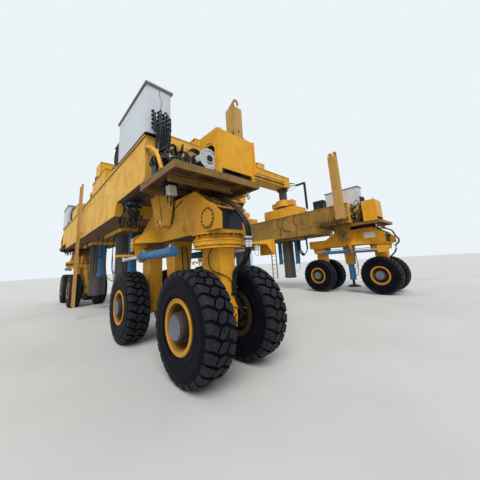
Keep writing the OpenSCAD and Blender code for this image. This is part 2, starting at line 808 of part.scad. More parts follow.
// Hook in profile, a band bent over towards the middle of the crane
module hook_outline(z) {
    difference() {
        union() {
            translate([-hook_r, z - hook_r]) circle(r = hook_r);
            translate([-hook_t, z - 400]) square([hook_t, 400 - hook_r]);
            translate([-2 * hook_r, z - hook_r - 40]) square([hook_t, 40]);
        }
        translate([-hook_r, z - hook_r]) circle(r = hook_r - hook_t);
        translate([-2 * hook_r + hook_t, z - 2 * hook_r - 1])
            square([2 * hook_r - 2 * hook_t, hook_r + 1]);
        translate([-2 * hook_r - 1, z - 2 * hook_r - 1]) square([hook_t + 1, hook_r - 39]);
    }
}

// Box post of height h, with a fork of two hooks or one hook at its end
module hook_post(h, forked) {
    z0 = post_foot_z;
    z1 = z0 + h - hook_r;
    box_z = z0 + h - 240;
    finger = forked ? 120 : 50;
    shoulder = forked ? 0 : 180;
    difference() {
        union() {
            block([0, 0, z0], [post_w - 1, post_l, box_z]);
            plate_x(post_w - hook_t, post_w)
                polygon([[0, z0], [post_l, z0], [post_l, z1], [post_l - finger, z1], [0, z1 - shoulder]]);
        }
        block([20, 25, box_z - 60], [post_w - hook_t, post_l - 25, box_z + 1]);
        plate_x(post_w - 160, post_w + 1)
            polygon([[60, z0 + 1450], [post_l - 45, z0 + 1450], [post_l - 45, z0 + 1860], [60, z0 + 1620]]);
        translate([post_w / 2, 0, z0 + 1850]) shaft_y(73, post_l - 60, post_l + 1);
        if (forked) block([post_w - hook_t - 1, finger, z1 - 140], [post_w + 1, post_l - finger, z1 + 1]);
    }
    for (y = forked ? [0, post_l - finger] : [post_l - finger])
        translate([post_w, 0, 0]) plate_y(y, y + finger) hook_outline(z0 + h);
    block([post_w - 1, 20, z0 + 60], [post_gap + flange_lip - GAP, post_l - 20, z0 + 560]);
}

module hook_posts() {
    color(YELLOW) for (c = CORNERS) flip(c[1], c[2])
        translate([post_x, pivot_y + 260, 0])
            hook_post(c[1] < 0 ? left_post_h : right_post_h, c[1] > 0);
}

module ladder() {
    x0 = beam_w / 2 + 60;
    low = 480;
    high = beam_top_z + 850;
    for (y = [-ladder_w / 2, ladder_w / 2 - 50]) {
        block([x0, y, low], [x0 + 60, y + 50, high]);
        for (z = [beam_deep_z + 150, beam_top_z - 200])
            block([beam_w / 2 - flange_lip, y, z], [x0 + 1, y + 50, z + 60]);
    }
    for (z = [low + 60 : rung_step : beam_top_z + 100])
        translate([x0 + 30, 0, z]) shaft_y(28, -ladder_w / 2 + 10, ladder_w / 2 - 10);
}

module ladders() {
    color(YELLOW) for (sx = [-1, 1]) translate([sx * span / 2, 0, 0]) flip(sx, 1) ladder();
}

for (s = SIDES) side_beam(s[1]);
end_decks();
pump_housings();
power_packs();
electric_cabinets();
cooling_units();
hook_posts();
ladders();
guide_tubes();
lifting_cylinders();
for (e = ENDS) crossbeam(e[1]);
for (e = ENDS) lifting_columns(e[1]);
for (c = CORNERS) {
    rocker(c);
    rocker_cylinders(c);
    jack_foot(c);
}
for (c = CORNERS) for (l = LEGS) {
    leg(c, l);
    steering_rod(c, l);
    tyres(c, l);
    axle(c, l);
}
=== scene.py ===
"""Looks of a rubber tyred gantry crane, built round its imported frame. All sizes are in metres."""

import json
import math
import random

import bmesh
import bpy
from mathutils import Matrix, Vector


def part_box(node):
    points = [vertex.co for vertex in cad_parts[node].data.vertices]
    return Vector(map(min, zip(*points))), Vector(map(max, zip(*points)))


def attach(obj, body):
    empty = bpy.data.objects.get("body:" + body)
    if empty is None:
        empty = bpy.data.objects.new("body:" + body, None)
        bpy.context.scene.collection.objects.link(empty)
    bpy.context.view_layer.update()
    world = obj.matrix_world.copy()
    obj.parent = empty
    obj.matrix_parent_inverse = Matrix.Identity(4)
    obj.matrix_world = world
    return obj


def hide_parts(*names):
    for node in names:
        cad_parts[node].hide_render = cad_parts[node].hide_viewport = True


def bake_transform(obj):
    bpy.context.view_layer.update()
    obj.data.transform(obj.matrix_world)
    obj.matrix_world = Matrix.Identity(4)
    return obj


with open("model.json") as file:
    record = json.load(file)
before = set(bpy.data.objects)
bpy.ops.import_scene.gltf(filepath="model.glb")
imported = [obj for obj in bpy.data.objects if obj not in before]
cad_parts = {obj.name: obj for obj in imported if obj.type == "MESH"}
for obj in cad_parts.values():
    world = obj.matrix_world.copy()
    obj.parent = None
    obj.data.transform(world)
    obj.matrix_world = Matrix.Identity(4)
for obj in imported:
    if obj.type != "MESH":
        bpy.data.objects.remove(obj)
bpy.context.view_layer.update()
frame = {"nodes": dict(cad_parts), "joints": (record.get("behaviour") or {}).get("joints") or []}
NODES = frame["nodes"]
JOINTS = {j["name"]: j for j in frame["joints"]}

CORNERS = {"near_left": (-1, -1), "near_right": (1, -1), "far_left": (-1, 1), "far_right": (1, 1)}
LEGS = {"outer": 1, "inner": -1}
SIDES = {"left": -1, "right": 1}
ENDS = {"near": -1, "far": 1}

# Places that the details share with the frame
SIDE_X, PIVOT_Y, PIVOT_Z = JOINTS["rock_far_right"]["pos_m"]
LEG_Y = JOINTS["steer_outer_far_right"]["pos_m"][1] - PIVOT_Y
AXLE_Z = JOINTS["spin_outer_far_right"]["pos_m"][2]
BEAM_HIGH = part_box("side_beam_right")[1]
BEAM_HALF_W = BEAM_HIGH.x - SIDE_X
BEAM_END = BEAM_HIGH.y - PIVOT_Y
BEAM_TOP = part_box("electric_cabinets")[0].z
BEAM_FOOT = 3.25
BEAM_DEEP = 2.95
DECK_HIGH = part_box("end_decks")[1]
DECK_TOP = DECK_HIGH.z
DECK_END = DECK_HIGH.y - PIVOT_Y
DECK_OUT = DECK_HIGH.x - SIDE_X
DECK_IN = 0.795
DECK_FOOT = DECK_TOP - 0.12
DRUM = Vector((0.25, 1.425, DECK_TOP + 0.265))
CABINET_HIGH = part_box("electric_cabinets")[1]
CROSS_LOW, CROSS_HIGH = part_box("far_crossbeam")
LIFT_Y = (CROSS_LOW.y + CROSS_HIGH.y) / 2
TUBE_Y = LIFT_Y - PIVOT_Y
CROSS_HALF_W = 0.42
CROSS_BOX_H = 0.34
CROSS_DEEP = 0.70
GUIDE_TOP = BEAM_TOP + 0.64
LIFT_ROD_Y = 0.62
WEB_X = 1.0
ROCKER_FOOT = 2.2
STEER_X = 0.66
STEER_Z = 1.93
GLAND_Y = -0.37

# Camera, solved from the photograph
CAMERA_AT = Vector((-7.205, -10.394, 1.658))
CAMERA_YAW = math.radians(43.57)
CAMERA_PITCH = math.radians(10.9)
CAMERA_ROLL = math.radians(-3.404)
FOCAL_PX = 225.9
FRAME_PX = 480
CENTRE_UP_PX = 20
SENSOR = 36.0


def make_camera():
    ahead = Vector((math.sin(CAMERA_YAW) * math.cos(CAMERA_PITCH),
                    math.cos(CAMERA_YAW) * math.cos(CAMERA_PITCH), math.sin(CAMERA_PITCH)))
    right = Vector((math.cos(CAMERA_YAW), -math.sin(CAMERA_YAW), 0))
    up = right.cross(ahead)
    turn, lean = math.cos(CAMERA_ROLL), math.sin(CAMERA_ROLL)
    axes = Matrix((turn * right + lean * up, turn * up - lean * right, -ahead)).transposed()
    camera = bpy.data.objects.new("camera", bpy.data.cameras.new("camera"))
    camera.matrix_world = Matrix.Translation(CAMERA_AT) @ axes.to_4x4()
    camera.data.sensor_width = SENSOR
    camera.data.lens = FOCAL_PX / FRAME_PX * SENSOR
    camera.data.shift_y = -CENTRE_UP_PX / FRAME_PX
    camera.data.clip_end = 500
    bpy.context.scene.collection.objects.link(camera)
    bpy.context.scene.camera = camera


# Materials


class Look:
    """A procedural material that grows node by node. Its methods return the sockets that they make."""

    def __init__(self, name, roughness=0.5, metallic=0.0, sheen=0.25):
        self.material = bpy.data.materials.new(name)
        self.material.use_nodes = True
        self.tree = self.material.node_tree
        self.shader = self.tree.nodes["Principled BSDF"]
        self.shader.inputs["Metallic"].default_value = metallic
        self.shader.inputs["Roughness"].default_value = roughness
        self.shader.inputs["Specular IOR Level"].default_value = sheen
        self.place = self.tree.nodes.new("ShaderNodeTexCoord").outputs["Object"]
        self.normal = self.tree.nodes.new("ShaderNodeNewGeometry").outputs["Normal"]

    def node(self, kind, inputs, **settings):
        made = self.tree.nodes.new(kind)
        for name, value in settings.items():
            setattr(made, name, value)
        for key, value in inputs.items():
            if isinstance(value, bpy.types.NodeSocket):
                self.tree.links.new(value, made.inputs[key])
            else:
                made.inputs[key].default_value = value
        return made

    def math(self, operation, a, b=0.0):
        return self.node("ShaderNodeMath", {0: a, 1: b}, operation=operation).outputs[0]

    def noise(self, scale, detail=3.0, rough=0.5, stretch=(1, 1, 1), twist=0.0):
        at = self.node("ShaderNodeMapping", {"Vector": self.place, "Scale": stretch}).outputs[0]
        inputs = {"Vector": at, "Scale": scale, "Detail": detail, "Roughness": rough, "Distortion": twist}
        return self.node("ShaderNodeTexNoise", inputs).outputs["Fac"]

    def band(self, value, low, high):
        """0 below low, 1 above high"""
        inputs = {"Value": value, "From Min": low, "From Max": high}
        return self.node("ShaderNodeMapRange", inputs).outputs[0]

    def mix(self, share, a, b):
        made = self.node("ShaderNodeMix", {0: share}, data_type="RGBA")
        for socket, value in ((made.inputs[6], a), (made.inputs[7], b)):
            if isinstance(value, bpy.types.NodeSocket):
                self.tree.links.new(value, socket)
            else:
                socket.default_value = (*value, 1)
        return made.outputs[2]

    def height(self):
        """Z of the surface's normal: 1 on top faces, -1 on undersides"""
        return self.node("ShaderNodeSeparateXYZ", {0: self.normal}).outputs[2]

    def edges(self, radius, low=0.02, high=0.12):
        """1 along sharp edges, 0 on flat faces"""
        soft = self.node("ShaderNodeBevel", {"Radius": radius}, samples=4).outputs[0]
        inputs = {0: soft, 1: self.normal}
        same = self.node("ShaderNodeVectorMath", inputs, operation="DOT_PRODUCT").outputs["Value"]
        return self.band(self.math("SUBTRACT", 1.0, same), low, high)

    def finish(self, colour, roughness=None, bump=None, strength=0.3, distance=0.002):
        if isinstance(colour, bpy.types.NodeSocket):
            self.tree.links.new(colour, self.shader.inputs["Base Color"])
        else:
            self.shader.inputs["Base Color"].default_value = (*colour, 1)
        if roughness is not None:
            self.tree.links.new(roughness, self.shader.inputs["Roughness"])
        if bump is not None:
            inputs = {"Height": bump, "Strength": strength, "Distance": distance}
            made = self.node("ShaderNodeBump", inputs)
            self.tree.links.new(made.outputs[0], self.shader.inputs["Normal"])
        return self.material


RUST = (0.13, 0.045, 0.015)
# Dark brown for real grime, also used as painted shade on the undersides of the painted looks
GRIME_AND_SHADE = (0.055, 0.038, 0.024)


def painted(name, colour, faded, streaks=0.5, grime_and_shade=0.4, chips=0.5, rubbed=0.0, gloss=0.46):
    """Weathered paint: fading, rain streaks, grime, painted shade on undersides, chipped edges and, where
    rubbed, scrubbed scratches
    """
    look = Look(name)
    cloud = look.noise(0.55, 4.0, 0.6)
    shade = look.mix(look.band(cloud, 0.35, 0.68), colour, faded)
    fine = look.noise(7.0, 5.0, 0.65)
    shade = look.mix(look.math("MULTIPLY", look.band(fine, 0.5, 0.8), 0.35), shade,
                     tuple(c * 0.72 for c in colour))
    upright = look.math("SUBTRACT", 1.0, look.math("ABSOLUTE", look.height()))
    run = look.band(look.noise(2.8, 7.0, 0.68, stretch=(2.0, 2.0, 0.10), twist=0.9), 0.54, 0.84)
    run = look.math("MULTIPLY", run, look.band(look.noise(0.6, 3.0), 0.42, 0.66))
    run = look.math("MULTIPLY", look.math("MULTIPLY", run, upright), streaks)
    shade = look.mix(run, shade, GRIME_AND_SHADE)
    if rubbed:
        rub = look.noise(6.0, 6.0, 0.7, stretch=(0.25, 0.25, 3.2), twist=0.6)
        rub = look.math("MULTIPLY", look.band(rub, 0.48, 0.72), upright)
        patch = look.band(look.noise(0.8, 2.0), 0.4, 0.6)
        shade = look.mix(look.math("MULTIPLY", look.math("MULTIPLY", rub, patch), rubbed), shade, GRIME_AND_SHADE)
    dirt = look.band(look.noise(2.3, 8.0, 0.72), 0.5, 0.74)
    # Painted shade: faces that point down are darkened towards the grime colour, together with the real dirt
    # patches
    under = look.band(look.height(), -0.35, -0.9)
    dirt_and_shade = look.math("MULTIPLY", look.math("MAXIMUM", dirt, look.math("MULTIPLY", under, 0.8)), grime_and_shade)
    shade = look.mix(dirt_and_shade, shade, GRIME_AND_SHADE)
    chip = look.band(look.noise(38.0, 3.0, 0.5), 0.66, 0.7)
    chip = look.math("MULTIPLY", chip, look.band(look.noise(1.7, 2.0), 0.52, 0.62))
    worn = look.math("MULTIPLY", look.edges(0.012), look.band(look.noise(9.0, 4.0, 0.7), 0.46, 0.6))
    bare = look.math("MULTIPLY", look.math("MAXIMUM", chip, worn), chips)
    shade = look.mix(bare, shade, RUST)
    rough = look.math("ADD", gloss, look.math("MULTIPLY", look.math("MAXIMUM", dirt_and_shade, run), 0.4))
    rough = look.math("ADD", rough, look.math("MULTIPLY", fine, 0.12))
    relief = look.math("ADD", look.math("MULTIPLY", look.noise(1.3, 2.0), 3.0), look.noise(180.0, 2.0))
    relief = look.math("SUBTRACT", relief, look.math("MULTIPLY", bare, 0.5))
    return look.finish(shade, rough, relief, 0.25, 0.004)


def rubber(name, colour, dusty, share, scale, sheen):
    look = Look(name, sheen=sheen)
    shade = look.mix(look.band(look.noise(3.0, 4.0), 0.35, 0.7), colour, tuple(c * 1.5 for c in colour))
    dust = look.math("MULTIPLY", look.band(look.noise(scale, 7.0, 0.7), 0.38, 0.68), share)
    shade = look.mix(dust, shade, dusty)
    scuff = look.math("MULTIPLY", look.edges(0.01), look.band(look.noise(25.0, 3.0), 0.4, 0.6))
    shade = look.mix(look.math("MULTIPLY", scuff, share), shade, dusty)
    rough = look.math("ADD", 0.5, look.math("MULTIPLY", dust, 0.4))
    relief = look.math("ADD", look.noise(160.0, 3.0), look.math("MULTIPLY", look.noise(22.0, 3.0), 1.5))
    return look.finish(shade, rough, relief, 0.35, 0.002)


def metal(name, colour, stain, share, roughness=0.35, metallic=0.9, scale=5.0, drawn=(1, 1, 1)):
    """Bare or plated steel with stains that follow the drawn direction"""
    look = Look(name, metallic=metallic, sheen=0.5)
    cloud = look.noise(scale, 5.0, 0.65, stretch=drawn)
    shade = look.mix(look.band(cloud, 0.3, 0.7), colour, tuple(c * 0.7 for c in colour))
    spot = look.math("MULTIPLY", look.band(look.noise(scale * 1.7, 6.0, 0.7, stretch=drawn), 0.5, 0.72),
                     share)
    shade = look.mix(spot, shade, stain)
    rough = look.math("ADD", roughness, look.math("MULTIPLY", look.math("MAXIMUM", spot, cloud), 0.35))
    return look.finish(shade, rough, look.noise(120.0, 3.0, stretch=drawn), 0.15, 0.001)


def plain(name, colour, roughness=0.5, dirt=0.3, dirt_colour=GRIME_AND_SHADE, grain=90.0, strength=0.2):
    """Moulded plastic, hose rubber and sheet parts: mottled, with dirt that settles in patches"""
    look = Look(name)
    shade = look.mix(look.band(look.noise(1.8, 3.0), 0.35, 0.7), colour, tuple(c * 0.8 for c in colour))
    patch = look.math("MULTIPLY", look.band(look.noise(4.5, 6.0, 0.7), 0.48, 0.72), dirt)
    shade = look.mix(patch, shade, dirt_colour)
    rough = look.math("ADD", roughness, look.math("MULTIPLY", patch, 0.3))
    return look.finish(shade, rough, look.noise(grain, 3.0), strength, 0.001)


YELLOW = (0.74, 0.335, 0.012)
FADED = (0.78, 0.40, 0.032)
MATERIALS = {
    "paint": painted("yellow_paint", YELLOW, FADED, 0.35, 0.35, 0.6),
    "beam": painted("yellow_paint_beam", (0.76, 0.385, 0.026), (0.80, 0.47, 0.075), 0.7, 0.45, 0.5,
                    rubbed=0.4),
    # Scrubbed, darker copy of the beam paint for the right beam's inner web: the rub marks and dirt are real,
    # the darker base colour is painted shade
    "worn": painted("yellow_paint_worn", (0.27, 0.155, 0.034), (0.46, 0.27, 0.058), 0.9, 0.8, 0.7,
                    rubbed=0.9),
    # Darker, deeper copy of the yellow paint for the rockers: painted shade from the deck above them, with
    # real grime
    "rocker": painted("yellow_paint_rocker", (0.55, 0.245, 0.008), (0.62, 0.30, 0.02), 0.6, 0.6, 0.6),
    "deck": painted("yellow_paint_deck", (0.31, 0.17, 0.038), (0.13, 0.078, 0.026), 0.6, 0.85, 0.8),
    # Near-black brown for the inner sides of the wheels and the flange between them: painted shade
    "grimy": painted("grimy_steel", (0.05, 0.03, 0.012), (0.028, 0.02, 0.012), 0.3, 0.8, 0.6),
    "post": painted("yellow_paint_post", (0.50, 0.27, 0.062), (0.54, 0.33, 0.115), 0.5, 0.45, 0.7, gloss=0.6),
    # Darker copy of the yellow paint, used as painted shade on undersides, inside the deck channels and on
    # the leg flanges between the wheels
    "under": painted("yellow_paint_dirty", (0.30, 0.15, 0.025), (0.20, 0.10, 0.03), 0.6, 0.8, 0.7),
    "rim": painted("yellow_paint_rim", (0.62, 0.30, 0.025), (0.50, 0.235, 0.022), 0.2, 0.35, 0.5),
    # Darker copy of the rim paint for the rim's dish and barrel: painted shade inside the rim
    "dish": painted("yellow_paint_dish", (0.40, 0.185, 0.018), (0.19, 0.09, 0.02), 0.2, 0.75, 0.7),
    "blue": painted("blue_paint", (0.024, 0.125, 0.29), (0.05, 0.19, 0.36), 0.3, 0.35, 0.3),
    "cabinet": painted("grey_cabinet_paint", (0.64, 0.68, 0.73), (0.57, 0.61, 0.66), 0.25, 0.12, 0.12,
                       gloss=0.5),
    "roof": painted("grey_roof_paint", (0.17, 0.19, 0.20), (0.23, 0.25, 0.26), 0.3, 0.3, 0.3),
    "side": rubber("tyre_side", (0.0028, 0.0031, 0.006), (0.022, 0.023, 0.028), 0.2, 2.5, 0.05),
    "tread": rubber("tyre_tread", (0.007, 0.0075, 0.010), (0.050, 0.050, 0.054), 0.5, 9.0, 0.12),
    "hose": plain("hose_rubber", (0.006, 0.006, 0.008), 0.36, 0.25, (0.05, 0.047, 0.042)),
    "cable": plain("cable_sheath", (0.010, 0.011, 0.014), 0.42, 0.3, (0.06, 0.057, 0.054)),
    "black": plain("black_machinery", (0.013, 0.014, 0.017), 0.42, 0.4, (0.06, 0.048, 0.036), 60.0, 0.4),
    # Near-black colour put where there is only shade, in slots, holes and gaps: painted shade
    "dark": plain("dark_inside", (0.012, 0.013, 0.018), 0.6, 0.3, (0.04, 0.035, 0.03)),
    "pane": plain("window_pane", (0.014, 0.018, 0.030), 0.25, 0.3, (0.05, 0.05, 0.05)),
    "cream": plain("cream_plastic", (0.62, 0.60, 0.50), 0.4, 0.3, (0.2, 0.17, 0.12)),
    "steel": metal("weathered_steel", (0.10, 0.096, 0.087), (0.045, 0.034, 0.025), 0.7, 0.5, 0.5, 3.0,
                   (2.5, 2.5, 0.18)),
    "cast": metal("cast_aluminium", (0.66, 0.68, 0.70), (0.20, 0.19, 0.18), 0.35, 0.42, 0.45, 9.0),
    "hub": metal("hub_steel", (0.15, 0.185, 0.225), (0.07, 0.062, 0.056), 0.5, 0.45, 0.25, 8.0),
    "zinc": metal("zinc_fittings", (0.72, 0.72, 0.70), (0.25, 0.2, 0.14), 0.35, 0.3, 0.6, 20.0),
    "chrome": metal("chrome_rod", (0.72, 0.73, 0.75), (0.30, 0.27, 0.22), 0.25, 0.12, 1.0, 4.0, (3, 0.3, 3)),
    "rust": metal("rusty_drum", (0.055, 0.034, 0.026), (0.022, 0.016, 0.013), 0.7, 0.6, 0.2, 9.0),
}


def dress(node, chooser):
    """Gives a CAD node its looks. chooser names the look of a face from its middle and its normal."""
    mesh = NODES[node].data
    names = []
    mesh.materials.clear()
    for face in mesh.polygons:
        name = chooser(face.center, face.normal) if callable(chooser) else chooser
        if name not in names:
            names.append(name)
            mesh.materials.append(MATERIALS[name])
        face.material_index = names.index(name)


# Shapes


class Shape:
    """The vertices and faces of one piece. Everything is drawn in the frame that is set."""

    def __init__(self, at=None):
        self.at = at or Matrix.Identity(4)
        self.verts, self.faces, self.looks = [], [], []

    def add(self, verts, faces, look):
        base = len(self.verts)
        self.verts += [self.at @ Vector(v) for v in verts]
        self.faces += [[base + i for i in face] for face in faces]
        self.looks += [look] * len(faces)

    def box(self, low, high, look):
        xs, ys, zs = zip(low, high)
        verts = [(x, y, z) for x in xs for y in ys for z in zs]
        faces = [(0, 1, 3, 2), (4, 6, 7, 5), (0, 4, 5, 1), (2, 3, 7, 6), (0, 2, 6, 4), (1, 5, 7, 3)]
        self.add(verts, faces, look)

    def prism(self, outline, axis, start, end, look):
        """An outline in the other two axes, in their order, drawn out along axis from start to end"""
        def put(p, q):
            return {"x": (q, *p), "y": (p[0], q, p[1]), "z": (*p, q)}[axis]
        n = len(outline)
        verts = [put(p, q) for q in (start, end) for p in outline]
        faces = [(i, (i + 1) % n, n + (i + 1) % n, n + i) for i in range(n)]
        self.add(verts, faces + [tuple(range(n)), tuple(range(n, 2 * n))], look)

    def lathe(self, profile, middle, axis, look, sides=32, start=0.0):
        """A profile of (radius, place along axis) turned about the axis through middle"""
        turn = Vector((0, 0, 1)).rotation_difference(Vector(axis)).to_matrix()
        middle = Vector(middle)
        if profile[0][0] > 1e-6 and profile[-1][0] > 1e-6:
            profile = [*profile, profile[0]]
        verts, rings = [], []
        for radius, along in profile:
            count = 1 if radius < 1e-6 else sides
            rings.append(range(len(verts), len(verts) + count))
            for i in range(count):
                a = start + 2 * math.pi * i / sides
                verts.append(middle + turn @ Vector((radius * math.cos(a), radius * math.sin(a), along)))
        faces = []
        for low, high in zip(rings, rings[1:]):
            for i in range(sides):
                j = (i + 1) % sides
                quad = [low[i % len(low)], low[j % len(low)], high[j % len(high)], high[i % len(high)]]
                faces.append(tuple(dict.fromkeys(quad)))
        self.add(verts, [f for f in faces if len(f) > 2], look)

    def disc(self, radius, height, middle, axis, look, sides=32):
        self.lathe([(0, 0), (radius, 0), (radius, height), (0, height)], middle, axis, look, sides)

    def collar(self, inner, outer, height, middle, axis, look, sides=32):
        self.lathe([(inner, 0), (outer, 0), (outer, height), (inner, height)], middle, axis, look, sides)

    def nipple(self, body, neck, middle, axis, look, sides=32):
        """A round body of (radius, height) with a neck of (radius, its foot, its end) on it"""
        (radius, height), (neck_radius, foot, end) = body, neck
        self.lathe([(0, 0), (radius, 0), (radius, height), (neck_radius, foot), (neck_radius, end), (0, end)],
                   middle, axis, look, sides)

    def rod(self, start, end, radius, look, sides=16, end_radius=None):
        start, end = Vector(start), Vector(end)
        length = (end - start).length
        profile = [(0, 0), (radius, 0), (radius if end_radius is None else end_radius, length), (0, length)]
        self.lathe(profile, start, end - start, look, sides)

    def bolt(self, at, axis, size, look="steel"):
        """Washer and hexagon head of a bolt of that head width, standing on at"""
        profile = [(0, 0), (size * 0.72, 0), (size * 0.72, size * 0.14), (0, size * 0.14)]
        self.lathe(profile, at, axis, look, 12)
        profile = [(0, size * 0.14), (size * 0.56, size * 0.14), (size * 0.56, size * 0.62),
                   (size * 0.46, size * 0.72), (0, size * 0.72)]
        self.lathe(profile, at, axis, look, 6, start=(at[0] + at[1]) * 7)

    def bolts(self, middle, axis, radius, count, size, look="steel", start=0.0):
        turn = Vector((0, 0, 1)).rotation_difference(Vector(axis)).to_matrix()
        for i in range(count):
            a = start + 2 * math.pi * i / count
            at = Vector(middle) + turn @ Vector((radius * math.cos(a), radius * math.sin(a), 0))
            self.bolt(at, axis, size, look)

    def tube(self, points, radius, look, sides=10, steps=6, close=True):
        """A round hose or bar along a smooth line through the points"""
        path = smooth(points, steps)
        normal = (path[1] - path[0]).orthogonal().normalized()
        verts, faces = [], []
        for i, p in enumerate(path):
            along = (path[min(i + 1, len(path) - 1)] - path[max(i - 1, 0)]).normalized()
            normal = (normal - along * normal.dot(along)).normalized()
            side = along.cross(normal)
            for k in range(sides):
                a = 2 * math.pi * k / sides
                verts.append(p + radius * (math.cos(a) * normal + math.sin(a) * side))
        for i in range(len(path) - 1):
            for k in range(sides):
                m = (k + 1) % sides
                faces.append((i * sides + k, i * sides + m, (i + 1) * sides + m, (i + 1) * sides + k))
        if close:
            faces += [tuple(range(sides)), tuple(range(len(verts) - sides, len(verts)))]
        self.add(verts, faces, look)

    def ring(self, middle, axis, radius, thick, look, sides=24, turn=1.0, start=0.0):
        """A round bar bent to a circle, or to a part of one"""
        spin = Vector((0, 0, 1)).rotation_difference(Vector(axis)).to_matrix()
        count = max(3, round(sides * turn))
        points = [Vector(middle) + spin @ Vector((radius * math.cos(a), radius * math.sin(a), 0))
                  for a in (start + 2 * math.pi * turn * i / count for i in range(count + 1))]
        self.tube(points, thick, look, 8, 1, close=turn < 1)


def smooth(points, steps):
    """Points along a smooth curve through the given ones"""
    points = [Vector(p) for p in points]
    if steps < 2 or len(points) < 3:
        return points
    ends = [2 * points[0] - points[1], *points, 2 * points[-1] - points[-2]]
    path = []
    for a, b, c, d in zip(ends, ends[1:], ends[2:], ends[3:]):
        for i in range(steps):
            t = i / steps
            path.append(0.5 * (2 * b + (c - a) * t + (2 * a - 5 * b + 4 * c - d) * t ** 2
                               + (3 * b - a - 3 * c + d) * t ** 3))
    return path + [points[-1]]


def corner_at(corner):
    """Frame at a rocker pivot in plan: +X to the outer side, +Y to the end of the crane"""
    sx, sy = CORNERS[corner]
    return Matrix.Translation((sx * SIDE_X, sy * PIVOT_Y, 0)) @ Matrix.Diagonal((sx, sy, 1, 1))


def leg_at(corner, leg):
    """Frame at a leg's axis in plan: +X on the side of its steering arm"""
    turn = Matrix.Rotation(math.pi if LEGS[leg] > 0 else 0, 4, "Z")
    return corner_at(corner) @ Matrix.Translation((0, LEGS[leg] * LEG_Y, 0)) @ turn


def piece(name, shape, body, bevel=0.0, crease=32):
    """Makes one object of a shape and lets it ride on a body; given a pair of bodies, it is left unattached
    in world space
    """
    mesh = bpy.data.meshes.new(name)
    mesh.from_pydata(shape.verts, [], shape.faces)
    names = list(dict.fromkeys(shape.looks))
    for look in names:
        mesh.materials.append(MATERIALS[look])
    mesh.polygons.foreach_set("material_index", [names.index(look) for look in shape.looks])
    tidy = bmesh.new()
    tidy.from_mesh(mesh)
    bmesh.ops.recalc_face_normals(tidy, faces=tidy.faces)
    tidy.to_mesh(mesh)
    tidy.free()
    mesh.polygons.foreach_set("use_smooth", [True] * len(mesh.polygons))
    mesh.set_sharp_from_angle(angle=math.radians(crease))
    made = bpy.data.objects.new(name, mesh)
    bpy.context.scene.collection.objects.link(made)
    if bevel:
        chamfer = made.modifiers.new("edges", "BEVEL")
        chamfer.width = bevel
        chamfer.segments = 2
        chamfer.limit_method = "ANGLE"
        chamfer.angle_limit = math.radians(40)
    if isinstance(body, tuple):
        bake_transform(made)
    else:
        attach(made, body)
    return made


# Tyres

TYRE_R = AXLE_Z
TREAD_PITCHES = 28
PITCH = 2 * math.pi * TYRE_R / TREAD_PITCHES
WHEEL_X = 0.565
TREAD_DEPTH = 0.034
# Outside of the tread and shoulder: across, and below the full radius
CROWN = [(0, 0), (0.10, 0.002), (0.19, 0.007), (0.222, 0.026), (0.236, 0.055), (0.2435, 0.098)]
CENTRE_BLOCK = [(-0.032, 0.063), (0.035, 0.078), (0.088, 0.033), (0.032, -0.063), (-0.035, -0.078),
                (-0.088, -0.033)]
# Columns of a shoulder block: place along the crown line, lower and upper edge
SHOULDER_BLOCK = [((0.064, 0.108), (-0.071, 0.026)), ((0.15, 0.15), (-0.130, 0.004)),
                  ((0.19, 0.19), (-0.158, -0.016)),
                  ((0.226, 0.226), (-0.160, -0.018)), ((0.258, 0.258), (-0.158, -0.020)),
                  ((0.300, 0.300), (-0.154, -0.024))]


def crown(s):
    """Point and outward direction on the crown line at distance s from the middle, for s of 0 or more"""
    left = abs(s)
    for (x0, z0), (x1, z1) in zip(CROWN, CROWN[1:]):
        step = math.hypot(x1 - x0, z1 - z0)
        if left <= step or (x1, z1) == CROWN[-1]:
            t = left / step
            side = math.copysign(1, s)
            return (side * (x0 + (x1 - x0) * t), z0 + (z1 - z0) * t), (side * (z1 - z0) / step,
                                                                       (x1 - x0) / step)
        left -= step


def tread_point(s, v, depth, side=1):
    """Point of the tread at s across and v round, at a depth under the outside"""
    (x, drop), (nx, nr) = crown(s)
    radius = TYRE_R - drop - nr * depth
    a = v / TYRE_R
    return side * (x - nx * depth), -radius * math.cos(a), radius * math.sin(a)


def inset(outline, edge):
    """The outline of a convex block with each side moved inwards"""
    mid = sum((Vector(p) for p in outline), Vector((0, 0))) / len(outline)
    return [mid + (Vector(p) - mid) * (1 - edge / (Vector(p) - mid).length) for p in outline]


def tread_block(shape, columns, v0, half_turn):
    """One shoulder block, drawn from its columns, with chamfered edges"""
    k = -1 if half_turn else 1
    levels = [(0.0075, 0.0), (0.0025, 0.006), (0.0, TREAD_DEPTH)]
    loops = []
    for edge, depth in levels:
        rows = []
        for t in (0, 0.5, 1):
            row = []
            for i, ((s_low, s_high), (v_low, v_high)) in enumerate(columns):
                s = s_low + (s_high - s_low) * t + (edge if i == 0 else -edge if i == len(columns) - 1 else 0)
                v = v_low + edge + (v_high - v_low - 2 * edge) * t
                row.append(tread_point(k * s, v0 + k * v, depth))
            rows.append(row)
        loops.append(rows)
    n = len(columns)
    top = [p for row in loops[0] for p in row]
    faces = [(r * n + i, r * n + i + 1, (r + 1) * n + i + 1,
              (r + 1) * n + i) for r in range(2) for i in range(n - 1)]
    shape.add(top, faces, "tread")
    rings = [rows[0] + [rows[1][-1]] + rows[2][::-1] + [rows[1][0]] for rows in loops]
    skirt(shape, rings)


def skirt(shape, rings):
    """Walls between rings of points, from the top of a block to its foot"""
    m = len(rings[0])
    for level, (high, low) in enumerate(zip(rings, rings[1:])):
        walls = [(i, (i + 1) % m, m + (i + 1) % m, m + i) for i in range(m)]
        shape.add(list(high) + list(low), walls, "tread" if level == 0 else "side")


